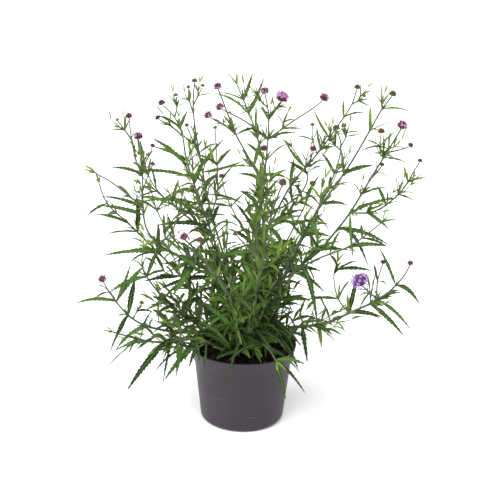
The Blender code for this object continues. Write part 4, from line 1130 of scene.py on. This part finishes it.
def terminal_tuft(growth, place, heading, rng):
    """The young leaves at the end of a shoot that has no head yet."""
    turn = rng.uniform(0, pi)
    for length, opening in ((0.026, 0.55), (0.018, 0.40), (0.012, 0.22), (0.008, 0.10)):
        out = across(heading, turn)
        for way in (1, -1):
            long = length * rng.uniform(0.8, 1.2)
            small_leaf(growth, place, swung(heading, out * way, opening), long,
                       long * rng.uniform(0.13, 0.17), rng.uniform(0.7, 1.0), rng, droop=0.04)
        turn += pi / 2


def blade_finish(name, dark, middling, young, rib, vein_height):
    """A leaf's skin: mottled green by age, a pale midrib, side veins, a thin dry margin."""
    material, surface = new_finish(name, 0.08)
    s, t = surface.carried("along"), surface.carried("across").math("ABSOLUTE")
    tone, youth = surface.carried("tone"), surface.carried("youth")
    mottle = surface.clouds(130, 4)
    veins = ((s * 15 - t * 1.1) * tau).math("SINE").rise(0.72, 1.0) * t.rise(1.0, 0.55)
    midrib_line = t.rise(0.16, 0.05) * (1 - s * 0.6)
    green = (tone * 0.7 + mottle * 0.5).rise(0.15, 1.0).mix(dark, middling)
    green = (youth + mottle * 0.3 - 0.15).rise(0.0, 1.0).mix(green, young)
    green = (veins * 0.22 + midrib_line * 0.75).mix(green, rib)
    dry = s.rise(0.93, 1.0) * tone.rise(0.55, 0.75) * 0.7 + t.rise(0.93, 1.0) * 0.25
    surface.dress(dry.mix(green, TIP_BROWN), 0.46 + 0.22 * mottle,
                  (veins + midrib_line) * vein_height + surface.clouds(700, 2) * 0.35, 0.0004)
    return material


leaf_upper = blade_finish("leaf_upper", DARK_LEAF, MID_LEAF, LIME_LEAF, PALE_RIB, -0.5)
leaf_under = blade_finish("leaf_under", GREY_UNDER, MID_UNDER, LIME_UNDER, PALE_RIB, 0.8)


# The flower heads
# Dense domes of small ribbed calyces, maroon or still olive, with lilac buds among them and
# five-lobed florets standing out where a head has opened. Each sits on the tip of its own stalk.
OLIVE_HEADS = ("right_inner_1", "right_tall_1", "right_arch_3", "right_back_1", "back_right_1",
               "front_right_1")
CALYX_LENGTH, CALYX_RADIUS, CALYX_SPACING = 0.0030, 0.00066, 0.00165
CALYX_MAROON, CALYX_DARK = (0.230, 0.075, 0.105), (0.070, 0.022, 0.036)
CALYX_OLIVE, CALYX_GREEN = (0.185, 0.130, 0.070), (0.110, 0.150, 0.050)
LILAC, LILAC_PALE, LILAC_THROAT = (0.270, 0.120, 0.460), (0.420, 0.270, 0.640), (0.110, 0.030, 0.170)
PINK_LILAC, PINK_PALE = (0.330, 0.110, 0.290), (0.600, 0.370, 0.610)
OLIVE_DARK, BUD_DARK, BUD_GREEN = (0.080, 0.060, 0.032), (0.070, 0.085, 0.030), (0.150, 0.175, 0.060)
GOLDEN_ANGLE = 2.39996
FLORETS, WIDE_FLORETS, WIDE_HEAD = {"part": 13, "open": 30}, 44, 0.026      # a wide open head has more
LOWEST_CALYX = radians(122)
CALYX, PETAL = 0, 1                         # a head's finishes


def basis(aim):
    """Two directions across an aim."""
    side = aim.orthogonal().normalized()
    return side, aim.cross(side)


def outward(polar, around):
    """The direction at an angle down from a head's axis and another round it."""
    return Vector((sin(polar) * cos(around), sin(polar) * sin(around), cos(polar)))


def grow_calyx(growth, root, aim, size, tone, youth, finish, spin):
    """A ribbed tube with five pointed teeth round its sunk mouth."""
    side, other = basis(aim)

    def ring(height, radius, count, shift=0.0):
        return [root + aim * height * size * CALYX_LENGTH
                + swung(side, other, spin + tau * (j + shift) / count) * radius * size * CALYX_RADIUS
                for j in range(count)]

    foot, belly = ring(0.0, 0.55, 5), ring(0.55, 1.0, 5)
    tips, notches = ring(1.12, 0.95, 5), ring(0.86, 0.80, 5, 0.5)
    points = foot + belly + tips + notches + [root + aim * 0.78 * size * CALYX_LENGTH]
    faces = [(4, 3, 2, 1, 0)]
    for j in range(5):
        k = (j + 1) % 5
        faces += [(j, k, 5 + k, 5 + j), (5 + j, 5 + k, 15 + j), (5 + j, 15 + j, 10 + j),
                  (5 + k, 10 + k, 15 + j), (10 + j, 15 + j, 20), (15 + j, 10 + k, 20)]
    heights = [0.0] * 5 + [0.5] * 5 + [1.0] * 5 + [0.8] * 5 + [0.3]
    growth.patch(points, faces, [(h, 1.0, tone, youth) for h in heights], finish)


def petal_bud(growth, root, aim, size, tone):
    """The rolled tip of a floret that is about to open."""
    line = [root + aim * size * CALYX_LENGTH * h for h in (0.75, 0.95, 1.2, 1.42, 1.52)]
    radii = [size * CALYX_RADIUS * r for r in (0.45, 0.55, 0.72, 0.48, 0.1)]
    thread(growth, line, radii, 6, [(h, 0, tone, 0) for h in (0.2, 0.4, 0.6, 0.8, 1.0)], PETAL)


def grow_floret(growth, root, aim, reach, span, tone, spin):
    """A slim tube with five notched lobes that spread flat at its mouth."""
    side, other = basis(aim)
    mouth = root + aim * reach
    line = [root, root + aim * reach * 0.6, mouth - aim * 0.0001, mouth - aim * 0.0005]
    thread(growth, line, [0.00030, 0.00036, 0.00052, 0.0001], 6, [(h, 0, tone, 0) for h in (0, .2, .3, .1)],
           PETAL)
    for j in range(5):
        out = swung(side, other, spin + tau * j / 5)
        wide = aim.cross(out)
        outline = ((0.15, -0.09, 0), (0.15, 0.09, 0), (0.58, 0.30, 0.05), (0.93, 0.26, -0.02),
                   (0.84, 0.0, 0.02), (0.93, -0.26, -0.02), (0.58, -0.30, 0.05))
        top = [mouth + (out * x + wide * y + aim * z) * span for x, y, z in outline]
        low = [p - aim * 0.00012 for p in top]
        faces = [(0, 1, 2, 4), (2, 3, 4), (0, 4, 6), (4, 5, 6)]
        faces += [tuple(7 + i for i in reversed(face)) for face in faces]
        faces += [(i, (i + 1) % 7, 7 + (i + 1) % 7, 7 + i) for i in range(7)]
        growth.patch(top + low, faces, [(x, 1.0, tone, 0) for x, _, _ in outline] * 2, PETAL)


def grow_head(growth, tip, axis, kind, width, youth, rng, calyx, petal_share):
    """A dome of calyces over a smaller core, seated on the tip of its stalk."""
    turn = axis.to_track_quat("Z", "X").to_matrix()
    dome, lift = 0.36 * width, GAP + 0.30 * width
    core, inner = dome * 0.86, (0.25, 0.0, 0.2, youth)
    size = min(1.15, 0.55 + 0.45 * width / 0.013)
    rings = [[tip + turn @ Vector((sin(a) * cos(b) * core, sin(a) * sin(b) * core,
                                   max(GAP, lift + cos(a) * core)))
              for b in (tau * j / 12 for j in range(12))]
             for a in (radians(degrees) for degrees in (146, 128, 108, 86, 62, 38, 16))]
    growth.loft(rings, [inner] * 84, [calyx] * 12, tip + turn @ Vector((0, 0, lift + core)), inner)
    count = round(tau * dome ** 2 * (1 - cos(LOWEST_CALYX)) / (CALYX_SPACING * size) ** 2)
    stray = Vector((rng.uniform(0, 50), 0, 0))
    for i in range(count):
        polar = acos(1 - (1 - cos(LOWEST_CALYX)) * (i + 0.5) / count)
        out = outward(polar, GOLDEN_ANGLE * i)
        lumpy = 0.93 + 0.42 * noise.noise(out * 2.3 + stray) + rng.uniform(-0.07, 0.07)
        root = out * dome * 0.72 * lumpy + Vector((0, 0, lift))
        root.z = max(root.z, GAP + 0.0004)
        aim = (out + Vector((rng.uniform(-0.2, 0.2), rng.uniform(-0.2, 0.2), 0.30))).normalized()
        place, aim = tip + turn @ root, turn @ aim
        tone = rng.random()
        own = size * rng.uniform(0.85, 1.1)
        grow_calyx(growth, place, aim, own, tone, youth + 0.4 * (polar > 1.6), calyx, rng.uniform(0, 1.2))
        if rng.random() < petal_share and polar < 1.5:
            petal_bud(growth, place, aim, own, tone)
    florets = WIDE_FLORETS if width > WIDE_HEAD else FLORETS.get(kind, 0)
    for i in range(florets):
        if kind == "part":
            site = i % 3 if i < 8 else rng.uniform(0, 2.2)
            stray = 0.22 if i < 8 else 0.5
            polar = radians(14 + 74 * sqrt((site + 0.5) / 3)) + rng.uniform(-stray, stray)
            around = 2.4 * site + rng.uniform(-stray, stray) * (1 if i < 8 else 6)
        else:
            open_to = 104 if width > WIDE_HEAD else 78
            polar = radians(12 + (open_to - 12) * sqrt((i + 0.5) / florets))
            polar += rng.uniform(-0.08, 0.08)
            around = GOLDEN_ANGLE * i + rng.uniform(-0.15, 0.15)
        out = outward(polar, around)
        root = tip + turn @ (out * dome * 0.85 + Vector((0, 0, lift)))
        stretch = rng.uniform(0.86, 1.14) if kind == "part" else rng.uniform(0.80, 1.06)
        reach = 0.56 * width * stretch - dome * 0.85
        span = rng.uniform(0.0022, 0.0029) if kind == "open" else rng.uniform(0.0011, 0.0019)
        grow_floret(growth, root, turn @ out, max(reach, 0.0016), span, rng.random(), rng.uniform(0, 1.3))


def calyx_finish(name, deep, bright, foot):
    """Downy sepals, deep in colour below and brighter at their teeth, green at the foot when young."""
    material, surface = new_finish(name, 0.35)
    height, tone, down = surface.carried("along"), surface.carried("tone"), surface.clouds(1600, 2)
    colour = (height * 0.6 + tone * 0.5 + down * 0.2).rise(0.25, 1.15).mix(deep, bright)
    colour = (surface.carried("youth") * height.rise(0.65, 0.0)).mix(colour, foot)
    surface.dress(colour, 0.60 + 0.25 * down, down, 0.0002)
    return material


calyx_maroon = calyx_finish("calyx_maroon", CALYX_DARK, CALYX_MAROON, CALYX_GREEN)
calyx_olive = calyx_finish("calyx_olive", OLIVE_DARK, CALYX_OLIVE, CALYX_GREEN)
calyx_green = calyx_finish("calyx_green", BUD_DARK, BUD_GREEN, CALYX_GREEN)


def petal_finish(name, full, pale):
    """Lobes that pale to their rims and darken into the throat."""
    material, surface = new_finish(name, 0.3)
    out, tone, silk = surface.carried("along"), surface.carried("tone"), surface.clouds(900, 2)
    colour = (out * 0.55 + tone * 0.35 + silk * 0.3).rise(0.25, 1.10).mix(full, pale)
    surface.dress(out.rise(0.30, 0.02).mix(colour, LILAC_THROAT), 0.55 + 0.2 * silk, silk, 0.00015)
    return material


petal_lilac = petal_finish("petal_lilac", LILAC, LILAC_PALE)
petal_pink = petal_finish("petal_pink", PINK_LILAC, PINK_PALE)

headed = [s for s in planned if s["head"] and s["head"][0] != "bud"]
grower = random.Random(31)
for name in STEMS:
    for number, stalk in enumerate((s for s in headed if s["stem"] == name), 1):
        kind, width = stalk["head"][0], stalk["head"][1] * MM
        olive = f"{name}_{number}" in OLIVE_HEADS
        head = Growth()
        grow_head(head, head_foot(stalk), head_axis(stalk), kind, width, 0.5, grower, CALYX,
                  {"calyx": 0.0 if olive else 0.10, "part": 0.35, "open": 0.6}[kind])
        bloom = head.piece(f"bloom_{name}_{number}", [calyx_olive if olive else calyx_maroon,
                                                     petal_lilac if name == "right_low" else petal_pink])
        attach(bloom, "root")
        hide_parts(f"head_{name}_{number}")
        "lilac" if kind == "open" else "maroon"


# The leafy stems put together
# Each stem is one growth: its stalks, leaves, tufts and green buds, in place of its solid.
def node_places(stalk, stem_leaves):
    """Where pairs of leaves stand on a stalk, as distances, without repeats."""
    found = []
    for leaf in stem_leaves:
        at, gap = nearest_on(stalk["line"], leaf["root"])
        if gap < 0.003 and all(abs(at - other) > 0.006 for other in found):
            found.append(at)
    return sorted(found)


grower = random.Random(71)
for name in STEMS:
    growth = Growth()
    own = [s for s in drawn if s["stem"] == name]
    stem_leaves = [leaf for leaf in leaves if leaf["stem"] == name]
    for stalk in own:
        twig = stalk["foot"] == TWIG_FOOT
        nodes = node_places(stalk, stem_leaves)
        grow_stalk(growth, stalk, nodes, 0.45 if twig else 0.15, grower)
        for at in nodes:
            place, heading = along(stalk["line"], at)
            height = height_at(place)
            pair = min(stem_leaves, key=lambda leaf: (leaf["root"] - place).length)
            out = pair["tip"] - pair["root"]
            out = (out - heading * out.dot(heading)).normalized()
            if name != "rim_shoot":
                node_tuft(growth, place, heading, out, height, grower)
        if twig:
            place, heading = along(stalk["line"], 0.001)
            out = heading.orthogonal().normalized()
            for way in (1, -1):
                length = grower.uniform(0.008, 0.018)
                small_leaf(growth, place, heading * 0.6 + out * way, length, length * 0.11,
                           grower.uniform(0.3, 0.8), grower)
        if not stalk["head"]:
            terminal_tuft(growth, stalk["line"][-1],
                          (stalk["line"][-1] - stalk["line"][-4]).normalized(), grower)
    if name != "rim_shoot":
        crown_growth(growth, along(own[0]["line"], ROOT_DEPTH + 0.002)[0], grower)
        inner_growth(growth, own[0], grower)
    for leaf in stem_leaves:
        leaf["root"] = attached(own, name, leaf["root"])
        height = height_at(leaf["root"])
        youth = 0.06 + 0.42 * height ** 1.5 * grower.uniform(0.4, 1.3)
        grow_leaf(growth, leaf, youth, grower.random() ** (1.5 - 0.7 * height), grower)
    for stalk in (s for s in planned if s["stem"] == name and s["head"] and s["head"][0] == "bud"):
        grow_head(growth, stalk["line"][-1], head_axis(stalk), "bud", stalk["head"][1] * MM, 0.8, grower,
                  BUD, 0.0)
    leafy = growth.piece("leafy_" + name, [stalk_skin, leaf_upper, leaf_under, calyx_green])
    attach(leafy, "root")
    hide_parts("stem_" + name)


# The floor, light and camera
# A plain near-white floor under soft light from two large panels, a wide soft light overhead and a
# bright even surround, seen from a little above the rim as in the photograph.
FLOOR_SIZE = 24
CAMERA_DISTANCE, CAMERA_RAISE, CAMERA_ROLL = 2.2, radians(20.0), radians(1.3)
CAMERA_AIM = Vector((0.0122, 0.0, 0.3191))
FOCAL_LENGTH, SENSOR_WIDTH, FRAME_SHIFT = 90.79, 36.0, (-0.0042, 0.0003)
LIGHT_AIM = Vector((0, 0, 0.28))

mesh = bpy.data.meshes.new("floor")
half = FLOOR_SIZE / 2
mesh.from_pydata([(-half, -half, 0), (half, -half, 0), (half, half, 0), (-half, half, 0)], [], [(0, 1, 2, 3)])
floor = placed("floor", mesh)
floor.location.z = -0.0003
pale_floor, surface = new_finish("pale_floor", 0.2)
surface.dress(surface.clouds(3, 2).mix((0.86, 0.86, 0.86), (0.88, 0.88, 0.88)), 0.9,
              surface.clouds(300, 2), 0.0001)
mesh.materials.append(pale_floor)
floor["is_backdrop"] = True


def lamp(name, kind, power, place, heading, **settings):
    light = bpy.data.lights.new(name, kind)
    for key, value in dict(settings, energy=power).items():
        setattr(light, key, value)
    item = placed(name, light)
    item.location = place
    item.rotation_euler = heading.to_track_quat("-Z", "Y").to_euler()


for name, power, place, width in (("left_panel", 60, (-2.4, -1.0, 1.2), 1.4),
                                  ("right_panel", 14, (2.6, -0.6, 1.3), 1.0)):
    lamp(name, "AREA", power, place, LIGHT_AIM - Vector(place), shape="RECTANGLE", size=width, size_y=2.2)
lamp("overhead", "SUN", 3.0, (0, 0, 0), Vector((0.12, 0.50, -0.86)), angle=radians(45))

world = bpy.data.worlds.new("studio")
world.use_nodes = True
surround = world.node_tree.nodes["Background"].inputs
surround["Color"].default_value, surround["Strength"].default_value = (1, 1, 1, 1), 0.95
bpy.context.scene.world = world
bpy.context.scene.view_settings.view_transform = "Standard"

lens = bpy.data.cameras.new("camera")
lens.lens, lens.sensor_width, lens.clip_end = FOCAL_LENGTH, SENSOR_WIDTH, 60.0
lens.shift_x, lens.shift_y = FRAME_SHIFT
camera = placed("camera", lens)
back = Vector((0, -cos(CAMERA_RAISE), sin(CAMERA_RAISE)))
right = Vector((1, 0, 0))
upward = right.cross(-back)
pose = Matrix((swung(right, upward, CAMERA_ROLL), swung(upward, -right, CAMERA_ROLL), back))
camera.matrix_world = Matrix.Translation(CAMERA_AIM + back * CAMERA_DISTANCE) @ pose.transposed().to_4x4()
bpy.context.scene.camera = camera


def plain(value):
    return [plain(v) for v in value] if hasattr(value, "__len__") else float(value)


{"solids": plain(solid_box), "looks": plain(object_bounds())}
